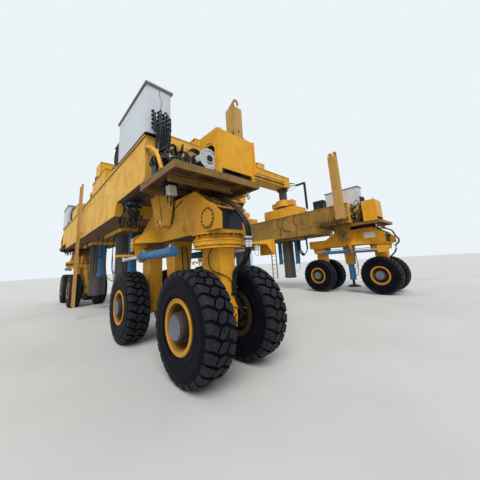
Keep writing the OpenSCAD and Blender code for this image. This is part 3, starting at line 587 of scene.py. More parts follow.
def tyre(shape, x):
    """A tyre about the X axis, with a carcass, sidewall rings and three rows of blocks"""
    keep = shape.at
    shape.at = keep @ Matrix.Translation((x, 0, AXLE_Z))
    b = 0.32
    groove = TYRE_R - TREAD_DEPTH - 0.001
    half = [(b, 0.195), (b + 0.012, 0.205), (b + 0.05, 0.206), (b + 0.06, 0.212), (b + 0.075, 0.213),
            (b + 0.09, 0.224),
            (b + 0.15, 0.242), (b + 0.156, 0.246), (b + 0.164, 0.246), (b + 0.17, 0.2445), (b + 0.23, 0.2495),
            (b + 0.30, 0.2485), (b + 0.306, 0.2500), (b + 0.318, 0.2500), (b + 0.324, 0.2475),
            (TYRE_R - 0.11, 0.2425),
            (TYRE_R - 0.07, 0.232), (groove - 0.014, 0.212), (groove - 0.002, 0.186), (groove, 0.10),
            (groove, 0)]
    profile = half + [(r, -a) for r, a in half[-2::-1]]
    shape.lathe(profile, (0, 0, 0), (1, 0, 0), "side", 112)
    for i in range(TREAD_PITCHES):
        v0 = i * PITCH
        levels = [(0.009, 0.0), (0.003, 0.006), (0.0, TREAD_DEPTH)]
        rings = [[tread_point(p[0], v0 + p[1], depth) for p in inset(CENTRE_BLOCK, edge)] for edge,
                 depth in levels]
        shape.add(rings[0] + [tread_point(0, v0, 0)], [(k, (k + 1) % 6, 6) for k in range(6)], "tread")
        skirt(shape, rings)
        tread_block(shape, SHOULDER_BLOCK, v0, False)
        tread_block(shape, SHOULDER_BLOCK, v0, True)
    shape.at = keep


def tyres():
    for corner in CORNERS:
        for leg in LEGS:
            shape = Shape(leg_at(corner, leg))
            for x in (-WHEEL_X, WHEEL_X):
                tyre(shape, x)
            made = piece(f"tyre_pair_{leg}_{corner}", shape, f"{leg}_wheels_{corner}",
                         crease=30)
            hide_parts(f"{leg}_tyres_{corner}")


# Details. Each is drawn at a corner, +X to the outer side and +Y to the end of the crane.

SKIN_X = 0.40
EAR_X = 0.482
HUB_FACE = 0.28
CROSS_TOP_BOXES = {"left": -1.85, "right": 2.30}


def jitter(chance, amount):
    return chance.uniform(-amount, amount)


def cabinet(corner):
    """Doors, plinth, glands and cables of an electric cabinet"""
    chance = random.Random(f"cabinet {corner}")
    shape = Shape(corner_at(corner))
    x0, x1, y0, y1, z0, z1 = 0.52, 1.02, -1.11, 0.66, BEAM_TOP, CABINET_HIGH.z - 0.045
    # Painted shade along the foot of the cabinet, drawn as a near-black plinth strip
    shape.box((x0 - 0.012, y0 - 0.012, z0), (x1 + 0.012, y1 + 0.012, z0 + 0.025), "dark")
    width = (y1 - y0 - 0.06) / 3
    for side, face in ((1, x1), (-1, x0)):
        for i in range(3):
            y = y0 + 0.03 + i * width
            low, high = sorted((face - 0.001 * side, face + 0.014 * side))
            shape.box((low, y + 0.004, z0 + 0.035), (high, y + width - 0.004, z1 - 0.02), "cabinet")
            if side > 0:
                continue
            out = face + 0.014 * side
            for z in (z0 + 0.16, z0 + 0.53, z1 - 0.11):
                shape.rod((out, y + 0.018, z - 0.03), (out, y + 0.018, z + 0.03), 0.008, "zinc", 8)
            for z in (z0 + 0.3, z1 - 0.3):
                shape.lathe([(0, 0), (0.017, 0), (0.017, 0.008), (0.010, 0.012), (0, 0.012)],
                            (out, y + width - 0.045, z), (side, 0, 0), "black", 12)
    shape.box((x0 + 0.03, y1 - 0.001, z0 + 0.035), (x1 - 0.03, y1 + 0.008, z1 - 0.03), "cabinet")
    shape.box((x0 + 0.025, y1 + 0.007, z0 + 0.10), (x1 - 0.05, y1 + 0.013, z0 + 0.57), "cabinet")
    shape.tube([(x1 - 0.26, y1 + 0.010, z1 - 0.02), (x1 - 0.25, y1 + 0.012, z1 - 0.14),
                (x1 - 0.30, y1 + 0.012, z1 - 0.27), (x1 - 0.27, y1 + 0.012, z0 + 0.57)], 0.004, "cable", 6)
    for x in (x0 + 0.03, x1 - 0.03):
        for y in (y0 + 0.05, y1 - 0.05):
            shape.disc(0.022, 0.012, (x, y, z1 + 0.045), (0, 0, 1), "zinc", 10)
    piece(f"cabinet_fittings_{corner}", shape, "frame", 0.002)

    cables = Shape(corner_at(corner))
    for i in range(4):
        for j in range(5):
            x = x0 + 0.07 + 0.105 * i + jitter(chance, 0.006)
            z = z0 + 0.15 + 0.09 * j + jitter(chance, 0.006)
            y = y1 + 0.013
            cables.lathe([(0, 0), (0.027, 0), (0.027, 0.014), (0.019, 0.018), (0.019, 0.042), (0.013, 0.052),
                          (0, 0.052)], (x, y, z), (0, 1, 0), "black", 10)
            if j == 4 and i in (0, 3):
                continue
            bundle = 0.60 + 0.065 * i + jitter(chance, 0.045)
            depth = y1 + 0.05 + 0.018 * j + jitter(chance, 0.008)
            low = DECK_TOP + 0.02
            cables.tube([(x, y + 0.045, z), (x + jitter(chance, 0.008), y + 0.085 + 0.012 * j, z - 0.012),
                         (x + jitter(chance, 0.015), y + 0.105 + 0.012 * j, z - 0.10),
                         (bundle + jitter(chance, 0.06), depth + 0.02, z0 - 0.05 + jitter(chance, 0.06)),
                         (bundle + jitter(chance, 0.06), depth + jitter(chance, 0.03), z0 - 0.42),
                         (bundle + jitter(chance, 0.04), depth + 0.03, low + 0.18),
                         (bundle + 0.03 + jitter(chance, 0.05), depth + 0.10, low)],
                        chance.choice((0.015, 0.018, 0.021)), "cable", 7, 5)
    piece(f"cabinet_cables_{corner}", cables, "frame")


def deck_end(corner):
    """Tube brace, junction box, hook and cables of an end deck"""
    chance = random.Random(f"deck {corner}")
    shape = Shape(corner_at(corner))
    top = DECK_TOP
    shape.tube([(0.985, BEAM_END - 0.01, 3.95), (0.985, BEAM_END + 0.07, 3.93), (0.99, 0.90, 3.80),
                (0.995, 1.08, 3.65), (0.995, 1.20, 3.48), (0.98, 1.27, 3.30), (0.97, 1.28, top)], 0.034,
               "paint", 14)
    shape.box((0.94, BEAM_END, 3.88), (1.02, BEAM_END + 0.012, 4.02), "paint")
    shape.box((0.91, 1.22, top), (1.02, 1.34, top + 0.012), "paint")
    piece(f"deck_brace_{corner}", shape, "frame", 0.002)

    shape = Shape(corner_at(corner))
    x, y, z = 0.74, 1.13, 2.965
    foot = DECK_FOOT
    shape.at = shape.at @ Matrix.Translation((x, y, z)) @ Matrix.Rotation(0.12, 4,
                                                                          "Y") @ Matrix.Rotation(0.15, 4, "Z")
    shape.box((-0.07, -0.055, -0.085), (0.07, 0.04, 0.085), "cream")
    shape.box((-0.075, 0.04, -0.09), (0.075, 0.06, 0.09), "cream")
    for dx in (-0.06, 0.06):
        for dz in (-0.072, 0.072):
            shape.lathe([(0, 0), (0.008, 0), (0.007, 0.004), (0, 0.004)], (dx, 0.06, dz), (0, 1, 0), "zinc",
                        8)
    shape.box((-0.11, -0.075, -0.05), (0.11, -0.055, 0.13), "black")
    shape.at = corner_at(corner)
    shape.box((x - 0.12, y - 0.10, z + 0.075), (x + 0.12, y + 0.03, foot), "black")
    for dx, reach, drop in ((-0.06, -0.35, 0.02), (0.0, -0.62, 0.10), (0.06, 0.10, 0.05)):
        shape.lathe([(0, 0), (0.016, 0), (0.016, 0.02), (0.011, 0.035), (0, 0.035)], (x + dx, y, z - 0.085),
                    (0, 0, -1), "black", 10)
        shape.tube([(x + dx, y, z - 0.115), (x + dx, y - 0.01, z - 0.15),
                    (x + dx - 0.05, y - 0.10, z - 0.12 - drop),
                    (x + reach * 0.35, y - 0.20, foot - 0.03), (x + reach, y - 0.30, foot - 0.008)], 0.009,
                   "cable", 8)
    shape.tube([(x - 0.07, y - 0.02, z + 0.03), (x - 0.22, y + 0.02, z - 0.01),
                (0.42, y + 0.10, foot - 0.022), (0.22, 1.30, foot - 0.018),
                (0.08, 1.42, foot - 0.02), (0.05, 1.47, foot)], 0.011, "cable", 8)
    piece(f"deck_box_{corner}", shape, "frame")

    shape = Shape(corner_at(corner))
    x, y = -0.71, 1.59
    shape.box((x - 0.05, y - 0.012, foot - 0.06), (x + 0.05, y + 0.012, foot + 0.005), "steel")
    shape.ring((x, y, foot - 0.075), (0, 1, 0), 0.028, 0.009, "zinc", 20)
    hook = [(x + 0.030 * math.sin(a) * k, y, foot - 0.155 - 0.052 * math.cos(a) * k)
            for k, a in ((0.2, math.pi), (0.7, math.pi), (1.0, 2.3), (1.0, 1.4), (1.0, 0.5), (1.0, -0.4),
                         (1.0, -1.3), (0.9, -1.9))]
    shape.tube(hook, 0.013, "zinc", 10)
    for k in range(5):
        a = 0.6 + 0.32 * k
        start = -0.20 - 0.11 * k + jitter(chance, 0.03)
        shape.tube([(start, 0.78, foot), (start - 0.02, 0.84, foot - 0.05),
                    (start + 0.12 + jitter(chance, 0.1), 1.02, foot - 0.06 * a),
                    (start + 0.05, 1.25 + jitter(chance, 0.08), foot - 0.035 * a),
                    (start - 0.10, 1.38, foot)],
                   chance.choice((0.010, 0.014)), "hose", 8)
    piece(f"deck_hook_{corner}", shape, "frame")


def housing(corner):
    """Edge, bolts, eyes, pumps and arch seam of a pump housing"""
    shape = Shape(corner_at(corner))
    x0, x1 = -DECK_IN - 0.03, -DECK_IN - 0.03 + 0.95
    y1 = DECK_END - 0.13
    z1 = DECK_TOP + 0.95
    shape.box((x0 - 0.012, y1 - 0.002, DECK_TOP + 0.17), (x0 + 0.03, y1 + 0.035, z1 - 0.05), "paint")
    for x in (x0 + 0.09, x0 + 0.86):
        shape.bolt((x - 0.03, y1, DECK_TOP + 0.08), (0, 1, 0), 0.022)
    for x in (x0 + 0.16, x1 - 0.16):
        for y in (y1 - 0.45, y1 - 0.1):
            shape.ring((x, y, z1 + 0.035), (1, 0, 0), 0.022, 0.006, "steel", 16)
    shape.box((x0 + 0.11, y1 - 0.20, DECK_TOP + 0.001), (x1 - 0.11, y1 - 0.06, DECK_TOP + 0.10), "black")
    arch = (x1, y1 - 0.275, DECK_TOP + 0.48)
    seam_x, radius, foot = x1 + 0.004, 0.206, DECK_TOP + 0.14
    turns = [math.pi * i / 16 for i in range(17)]
    rim = [(seam_x, arch[1] + radius * math.cos(a), arch[2] + radius * math.sin(a)) for a in turns]
    shape.tube([(seam_x, arch[1] + radius, foot), *rim, (seam_x, arch[1] - radius, foot)], 0.009, "paint", 8,
               1)
    # Painted shade: a near-black box stands for the dark slot inside the housing
    shape.box((x0 + 0.03, y1 - 0.52, DECK_TOP + 0.30), (x1 - 0.10, y1 - 0.03, DECK_TOP + 0.60), "dark")
    piece(f"housing_fittings_{corner}", shape, "frame", 0.002)


def power_pack(corner):
    """Fittings, hoses and cooling fan round the motor, the pumps and the valve bank"""
    chance = random.Random(f"power {corner}")
    shape = Shape(corner_at(corner))
    drum = DRUM
    shape.bolts(drum + Vector((0, 0.195, 0)), (0, 1, 0), 0.15, 8, 0.026, "zinc", 0.3)
    shape.collar(0.066, 0.084, 0.012, drum + Vector((0, 0.194, 0)), (0, 1, 0), "cast", 24)
    # Painted shade: a near-black disc fills the opening of the collar
    shape.disc(0.066, 0.004, drum + Vector((0, 0.194, 0)), (0, 1, 0), "dark", 24)
    shape.collar(0.168, 0.198, 0.016, drum + Vector((0, 0.17, 0)), (0, 1, 0), "cast", 40)
    for k in range(8):
        y = 0.80 + 0.045 * k
        shape.collar(0.118, 0.136, 0.012, (drum.x, y, drum.z), (0, 1, 0), "black", 24)
    fan = (0.10, 0.80, DECK_TOP + 0.62)
    shape.lathe([(0.175, 0), (0.19, 0), (0.19, 0.14), (0.175, 0.14), (0.175, 0)], fan, (0, 1, 0), "steel", 32)
    for r in (0.04, 0.08, 0.12, 0.16):
        shape.ring((fan[0], fan[1] + 0.14, fan[2]), (0, 1, 0), r, 0.004, "steel", 28)
    for k in range(6):
        a = math.pi * k / 6
        d = Vector((math.cos(a), 0, math.sin(a))) * 0.178
        c = Vector((fan[0], fan[1] + 0.14, fan[2]))
        shape.rod(c - d, c + d, 0.004, "steel", 6)
    shape.lathe([(0, 0), (0.055, 0), (0.05, 0.05), (0, 0.055)], (fan[0], fan[1] + 0.06, fan[2]), (0, 1, 0),
                "black", 20)
    shape.box((fan[0] - 0.04, fan[1] + 0.02, DECK_TOP + 0.016),
              (fan[0] + 0.04, fan[1] + 0.10, fan[2] - 0.185), "black")
    for i in range(4):
        x = 0.375 + 0.06 + 0.085 * i
        y, z = BEAM_END + 0.125, DECK_TOP + 0.70
        shape.lathe([(0, 0), (0.024, 0), (0.024, 0.03), (0.018, 0.035), (0.018, 0.05), (0, 0.052)], (x, y, z),
                    (0, 0, 1), "zinc", 6)
        shape.box((x - 0.03, y + 0.10, z - 0.215), (x + 0.03, y + 0.13, z - 0.155), "cast")
        shape.lathe([(0, 0), (0.022, 0), (0.02, 0.03), (0, 0.032)], (x, y + 0.13, z - 0.185), (0, 1, 0),
                    "cream", 12)
        for dz in (-0.28, -0.40):
            shape.lathe([(0, 0), (0.022, 0), (0.022, 0.018), (0.014, 0.02), (0.014, 0.045), (0, 0.046)],
                        (x, y + 0.055, z + dz), (0, 1, 0), "zinc", 6)
    for x in (0.675, 0.915):
        shape.bolts((x, BEAM_END + 0.361 + 0.109, DECK_TOP + 0.33), (0, 1, 0), 0.078, 6, 0.018, "zinc")
        shape.nipple((0.028, 0.05), (0.02, 0.055, 0.09), (x, BEAM_END + 0.36, DECK_TOP + 0.33 + 0.09),
                     (0, 0, 1), "zinc", 10)
    piece(f"power_fittings_{corner}", shape, "frame")

    hoses = Shape(corner_at(corner))
    top = DECK_TOP
    loops = [((0.43, 0.78, 3.63), (0.40, 0.93, 3.92), (0.50, 1.12, 3.94), (0.60, 1.20, 3.72),
              (0.675, 1.02, 3.66)),
             ((0.52, 0.78, 3.63), (0.56, 0.95, 3.86), (0.72, 1.15, 3.84), (0.90, 1.12, 3.70),
              (0.915, 1.00, 3.66)),
             ((0.60, 0.78, 3.51), (0.62, 0.92, 3.70), (0.55, 1.20, 3.74), (0.42, 1.35, 3.52),
              (0.35, 1.38, top + 0.02)),
             ((0.69, 0.78, 3.51), (0.78, 0.95, 3.62), (0.86, 1.22, 3.50), (0.80, 1.42, 3.30),
              (0.72, 1.46, top + 0.01)),
             ((0.43, 0.78, 3.51), (0.34, 0.90, 3.60), (0.22, 1.02, 3.66), (0.12, 1.08, 3.50),
              (0.14, 1.12, 3.30), (0.20, 1.16, top + 0.01)),
             ((0.915, 1.17, 3.54), (0.92, 1.30, 3.53), (0.90, 1.42, 3.40), (0.82, 1.44, 3.27),
              (0.72, 1.42, 3.22)),
             ((0.675, 1.17, 3.54), (0.67, 1.30, 3.54), (0.58, 1.40, 3.40), (0.52, 1.38, 3.27),
              (0.56, 1.34, 3.22)),
             ((0.30, 0.60, 3.98), (0.34, 0.78, 4.05), (0.46, 1.04, 3.92), (0.52, 1.02, 3.68),
              (0.47, 0.79, 3.56))]
    for points in loops:
        hoses.tube(points, chance.choice((0.014, 0.018, 0.022)), "hose", 9)
        for end, nxt in ((points[0], points[1]), (points[-1], points[-2])):
            way = (Vector(nxt) - Vector(end)).normalized()
            hoses.rod(Vector(end), Vector(end) + way * 0.06, 0.024, "zinc", 8)
    for k in range(14):
        a = (0.39 + 0.026 * k, BEAM_END + 0.13 + jitter(chance, 0.03), top + 0.60)
        b = (a[0] + jitter(chance, 0.12), 0.98 + jitter(chance, 0.12), top + 0.52 + jitter(chance, 0.16))
        c = (a[0] + jitter(chance, 0.16), 1.18 + jitter(chance, 0.10), top + 0.28 + jitter(chance, 0.12))
        d = (a[0] + jitter(chance, 0.10), 1.26 + jitter(chance, 0.08), top + 0.012)
        hoses.tube([a, b, c, d], chance.choice((0.007, 0.010, 0.013)), "cable", 7)
    piece(f"power_hoses_{corner}", hoses, "frame")


def rocker(corner):
    """Bolts, window, seams and cables of a rocker, and the fittings of its steering cylinders"""
    shape = Shape(corner_at(corner))
    cover = (SKIN_X + 0.013, 1.72, 2.41)
    shape.bolts(cover, (1, 0, 0), 0.150, 14, 0.022, "rust")
    shape.ring((cover[0] + 0.001, cover[1], cover[2]), (1, 0, 0), 0.168, 0.005, "rust", 32)
    end = (-EAR_X - 0.039, 0, PIVOT_Z)
    shape.lathe([(0, 0), (0.075, 0), (0.075, 0.012), (0, 0.014)], end, (-1, 0, 0), "steel", 24)
    shape.bolts((end[0] - 0.012, 0, PIVOT_Z), (-1, 0, 0), 0.048, 4, 0.022, "rust", 0.8)
    shape.ring((-EAR_X - 0.003, 0, PIVOT_Z), (1, 0, 0), 0.093, 0.008, "rust", 28)
    shape.box((-0.325, 1.757, 2.25), (0.325, 1.766, 2.575), "pane")
    for x in (-0.312, 0.312):
        for z in (2.28, 2.41, 2.55):
            shape.bolt((x, 1.766, z), (0, 1, 0), 0.014, "rust")
    for s in (-1, 1):
        middle = (0, s * LEG_Y, ROCKER_FOOT - 0.0401)
        # The bolts under the rocker's foot are drawn in the near-black colour: painted shade
        shape.bolts(middle, (0, 0, -1), 0.428, 24, 0.028, "dark", math.radians(7.5))
    for y in (-0.25, 0.35, 0.95):
        shape.box((SKIN_X, y, ROCKER_FOOT + 0.001), (SKIN_X + 0.004, y + 0.012, 2.90 if y < 0.9 else 2.93),
                  "paint")
    for points in (((0.0, 1.84, 2.602), (0.14, 1.835, 2.62), (0.24, 1.80, 2.66), (0.33, 1.72, 2.70),
                    (0.37, 1.60, 2.80)),
                   ((-0.30, 1.84, 2.60), (-0.12, 1.85, 2.61), (0.05, 1.84, 2.60)),
                   ((0.10, 1.45, 2.88), (0.22, 1.50, 2.87), (0.30, 1.66, 2.76), (0.26, 1.84, 2.61))):
        shape.tube(points, 0.011, "cable", 7)
    shape.box((-0.24, 1.785, 2.596), (-0.06, 1.86, 2.64), "black")
    shape.box((0.10, 1.79, 2.596), (0.19, 1.855, 2.66), "black")
    shape.tube([(SKIN_X + 0.002, 0.52, 2.96), (SKIN_X + 0.02, 0.50, 2.90), (SKIN_X + 0.015, 0.62, 2.80),
                (SKIN_X + 0.015, 0.86, 2.87), (SKIN_X - 0.02, 0.98, 2.965)], 0.008, "cable", 7)
    piece(f"rocker_fittings_{corner}", shape, f"bogie_{corner}")

    for s in (1, -1):
        shape = Shape(corner_at(corner) @ Matrix.Rotation(0 if s > 0 else math.pi, 4, "Z"))
        x, z, front = STEER_X, STEER_Z, GLAND_Y
        wing = STEER_X + 0.20
        # The wings take the rocker's darker copy of the paint, painted shade
        shape.box((wing - 0.012, front - 0.105, ROCKER_FOOT - 0.16),
                  (wing + 0.012, front + 0.02, ROCKER_FOOT + 0.11), "rocker")
        for y in (front - 0.09, front - 0.03):
            shape.prism([(wing - 0.36, ROCKER_FOOT + 0.02), (wing, ROCKER_FOOT + 0.02),
                         (wing, ROCKER_FOOT + 0.10)],
                        "y", y, y + 0.012, "rocker")
        shape.bolts((wing + 0.012, front - 0.04, ROCKER_FOOT - 0.03), (1, 0, 0), 0.045, 4, 0.022, "zinc", 0.8)
        for y in (front + 0.10, front + 1.30):
            shape.nipple((0.018, 0.03), (0.012, 0.035, 0.055), (x, y, z + 0.078), (0, 0, 1), "zinc", 6)
        shape.tube([(x, front + 1.30, z + 0.13), (x - 0.02, front + 1.22, z + 0.17),
                    (x - 0.10, front + 0.90, z + 0.13),
                    (x - 0.14, front + 0.45, z + 0.15), (x - 0.06, front + 0.20, z + 0.17),
                    (x, front + 0.10, z + 0.13)],
                   0.013, "hose", 8)
        shape.lathe([(0, 0), (0.05, 0), (0.05, 0.012), (0, 0.014)], (x, front + 1.45, z), (0, 1, 0), "blue",
                    24)
        shape.lathe([(0.047, 0), (0.066, 0), (0.066, 0.02), (0.047, 0.025)], (x, front - 0.046, z),
                    (0, -1, 0), "steel", 20)
        for dx in (-0.07, 0.07):
            shape.bolt((x + dx, front - 0.046, z + 0.06), (0, -1, 0), 0.024, "zinc")
        piece(f"steering_fittings_{'front' if s > 0 else 'back'}_{corner}", shape, f"bogie_{corner}")


def ear(corner):
    """Folded cover over the outer pivot ear, with its bolt and seam"""
    shape = Shape(corner_at(corner))
    outer = [(-0.06, BEAM_FOOT), (0.17, BEAM_FOOT), (0.33, 2.60), (0.365, 2.51), (0.335, 2.465), (0.28, 2.48),
             (0.16, 2.62)]
    inner = [(-0.08, BEAM_FOOT), (0.66, BEAM_FOOT), (0.56, 2.64), (0.49, 2.49), (0.38, 2.43), (0.27, 2.47),
             (0.14, 2.62)]
    n = len(outer)
    verts = [(0.545, *p) for p in outer] + [(0.412, *p) for p in inner]
    faces = [(i, (i + 1) % n, n + (i + 1) % n, n + i) for i in range(n)]
    # The cover takes the rocker's darker copy of the paint, painted shade under the deck
    shape.add(verts, faces + [tuple(range(n)), tuple(range(n, 2 * n))], "rocker")
    shape.tube([(0.425, 0.655, BEAM_FOOT - 0.01), (0.425, 0.61, 2.95), (0.425, 0.555, 2.66),
                (0.425, 0.49, 2.50)], 0.014, "hose", 8)
    shape.tube([(0.546, 0.165, 3.23), (0.547, 0.21, 3.05), (0.547, 0.29, 2.75), (0.547, 0.335, 2.60)], 0.006,
               "rust", 7)
    shape.bolt((0.545, 0.30, 2.57), (1, 0, 0), 0.045, "zinc")
    shape.bolt((0.545, 0.27, 2.72), (1, 0, 0), 0.022, "zinc")
    piece(f"ear_cover_{corner}", shape, "frame", 0.006)


def bogie_hoses(corner):
    """Hoses from the deck over the window to a clamp on the rocker, and on to the wheels"""
    chance = random.Random(f"bogie {corner}")
    right = CORNERS[corner][0] > 0
    bulge = 0.16 if right else 0.0
    upper, lower = Shape(corner_at(corner)), Shape(corner_at(corner))
    clamp_y, clamp_z = 2.06, 2.05
    for dx in (-0.035, 0.035):
        x = -0.15 + dx
        upper.tube([(0.06 + dx, 1.37, DECK_TOP - 0.11), (0.055 + dx, 1.385, 3.01), (0.03 + dx, 1.47, 2.915),
                    (-0.02 + dx, 1.62 + bulge * 0.3, 2.80 + bulge * 0.5),
                    (-0.09 + dx, 1.82 + bulge, 2.66 + bulge * 0.5), (-0.13 + dx, 1.95 + bulge, 2.47),
                    (x, 2.05 + bulge, 2.30), (x, 2.075 + bulge * 0.6, 2.16), (x, clamp_y, clamp_z + 0.03)],
                   0.027, "hose", 12)
        upper.nipple((0.034, 0.05), (0.028, 0.055, 0.085), (x, clamp_y, clamp_z - 0.01),
                    (0, 0, 1), "zinc", 12)
        upper.disc(0.037, 0.035, (x, clamp_y, clamp_z - 0.05), (0, 0, 1), "zinc", 6)
        lower.nipple((0.034, 0.045), (0.028, 0.05, 0.08), (x, clamp_y, clamp_z - 0.055),
                    (0, 0, -1), "zinc", 12)
        lower.tube([(x, clamp_y, clamp_z - 0.12), (x, 2.04, 1.88), (x - 0.015, 1.98, 1.75),
                    (x - 0.01, 1.86, 1.64),
                    (x + 0.04, 1.76, 1.54), (-0.105 + dx * 0.6, 1.725, 1.42), (-0.085 + dx * 0.6, 1.72, 1.30),
                    (-0.10 + dx * 0.6, 1.725, 1.17)], 0.024, "hose", 12)
    upper.box((-0.235, 2.036, clamp_z - 0.02), (-0.065, 2.095, clamp_z + 0.012), "steel")
    upper.prism([(1.80, 2.19), (1.93, 2.19), (2.065, clamp_z + 0.016), (2.04, clamp_z + 0.012), (2.0, 2.092),
                 (1.88, 2.17), (1.80, 2.17)], "x", -0.22, -0.205, "paint")
    piece(f"hose_pair_upper_{corner}", upper, ("frame", f"bogie_{corner}"))
    piece(f"hose_pair_lower_{corner}", lower, (f"bogie_{corner}", f"outer_leg_{corner}"))

    loose = Shape(corner_at(corner))
    for k in range(5):
        y = 0.70 + 0.10 * k
        x = -0.30 - 0.06 * k
        loose.tube([(x, y + 0.30, DECK_FOOT), (x + 0.03, y + 0.28, 3.065),
                    (x + 0.10 + jitter(chance, 0.05), y + 0.12, 3.045),
                    (x + 0.05, y - 0.02, 3.05), (x, y - 0.06, DECK_TOP - 0.115)],
                   chance.choice((0.010, 0.014)), "hose", 8)
    piece(f"deck_hoses_{corner}", loose, "frame")


def leg(corner, name):
    """Fittings and hoses of a leg, drawn in its own frame with +X on the side of its arm"""
    shape = Shape(leg_at(corner, name))
    outer = LEGS[name] > 0
    pin_y = -0.30 if outer else -0.11
    arm_top = 2.035
    shape.lathe([(0, 0), (0.062, 0), (0.062, 0.018), (0.05, 0.024), (0, 0.024)], (0.66, pin_y, arm_top),
                (0, 0, 1), "steel", 24)
    shape.bolts((STEER_X, pin_y, arm_top + 0.02), (0, 0, 1), 0.035, 3, 0.018, "zinc")
    for y in (-0.25, 0.25):
        side = math.copysign(1, y)
        shape.box((-0.13, y - (0.012 if y < 0 else 0), 0.66), (0.13, y + (0.012 if y > 0 else 0), 1.02),
                  "paint")
        for x in (-0.10, 0.10):
            for z in (0.72, 0.84, 0.96):
                shape.bolt((x, y + side * 0.012, z), (0, side, 0), 0.024, "rust")
    for x in (-0.16, 0.16):
        side = math.copysign(1, x)
        # Painted shade: the flanges between the wheels get the darker underside copy of the paint
        shape.lathe([(0.083, 0), (0.205, 0), (0.205, 0.03), (0.19, 0.04), (0.083, 0.04)], (x, 0, AXLE_Z),
                    (side, 0, 0), "under", 32)
        shape.bolts((x + side * 0.035, 0, AXLE_Z), (side, 0, 0), 0.165, 12, 0.026, "rust")
    if outer:
        face = -0.25
        shape.tube([(-0.165, -0.165, 1.99), (-0.185, -0.10, 1.96), (-0.185, 0.03, 1.84), (-0.185, 0.04, 1.70),
                    (-0.185, -0.05, 1.58), (-0.18, -0.22, 1.53), (-0.14, face - 0.02, 1.50),
                    (-0.02, face - 0.03, 1.44),
                    (0.05, face - 0.025, 1.36)], 0.009, "rust", 8)
        for x, z in ((0.085, 1.40), (0.115, 1.30)):
            shape.tube([(x, face - 0.03, z + 0.10), (x - 0.01, face - 0.035, z - 0.1),
                        (x + 0.02, face - 0.04, z - 0.26),
                        (x + 0.10, face - 0.08, z - 0.44), (x + 0.22, face - 0.03, z - 0.50),
                        (0.30, -0.16, 0.92)], 0.020, "hose", 10)
        shape.rod((0.02, face - 0.01, 1.01), (0.33, face - 0.01, 0.90), 0.020, "paint", 12)
        shape.disc(0.035, 0.03, (0.02, face + 0.001, 1.015), (0, -1, 0), "paint", 16)
        shape.box((0.06, face - 0.05, 1.27), (0.16, face + 0.001, 1.285), "steel")
        shape.box((0.04, face - 0.02, 1.15), (0.15, face + 0.001, 1.20), "black")
    piece(f"leg_fittings_{name}_{corner}", shape, f"{name}_leg_{corner}")


def wheels(corner, name):
    """Rim bolts, bolted collar, valve and hub plate of a wheel pair, and the brake between them"""
    shape = Shape(leg_at(corner, name))
    for side in (-1, 1):
        x = side * WHEEL_X
        shape.lathe([(0.199, 0.018), (0.262, 0.018), (0.268, 0.024), (0.268, 0.056), (0.258, 0.064),
                     (0.199, 0.064)],
                    (x, 0, AXLE_Z), (side, 0, 0), "rust", 40)
        shape.bolts((x + side * 0.064, 0, AXLE_Z), (side, 0, 0), 0.235, 14, 0.030, "rust")
        shape.lathe([(0.2, 0.10), (0.214, 0.105), (0.214, 0.145), (0.2, 0.15)], (x, 0, AXLE_Z), (side, 0, 0),
                    "rust", 40)
        face = x + side * (HUB_FACE - 0.0005)
        shape.lathe([(0.168, -0.002), (0.172, -0.006), (0.1695, 0.0003), (0.168, 0.0004)], (face, 0, AXLE_Z),
                    (side, 0, 0), "black", 40)
        shape.ring((x + side * 0.232, 0, AXLE_Z), (1, 0, 0), 0.377, 0.012, "rim", 48)
        shape.ring((x + side * 0.205, 0, AXLE_Z), (1, 0, 0), 0.339, 0.009, "rim", 48)
        shape.tube([(x + side * 0.03, 0.30, AXLE_Z + 0.03), (x + side * 0.07, 0.295, AXLE_Z + 0.03),
                    (x + side * 0.12, 0.31, AXLE_Z + 0.03)], 0.006, "zinc", 8)
        # Painted shade: the inner flange between the wheels takes the near-black inner colour
        shape.lathe([(0.17, 0), (0.25, 0), (0.27, 0.02), (0.27, 0.12), (0.25, 0.13), (0.17, 0.13)],
                    (x - side * 0.16, 0, AXLE_Z), (side, 0, 0), "grimy", 40)
        shape.lathe([(0.082, 0), (0.15, 0), (0.165, 0.02), (0.165, 0.10), (0.082, 0.10)],
                    (x - side * 0.25, 0, AXLE_Z), (side, 0, 0), "black", 32)
        shape.bolts((x - side * 0.16, 0, AXLE_Z), (-side, 0, 0), 0.215, 12, 0.026, "rust")
    piece(f"wheel_fittings_{name}_{corner}", shape, f"{name}_wheels_{corner}")


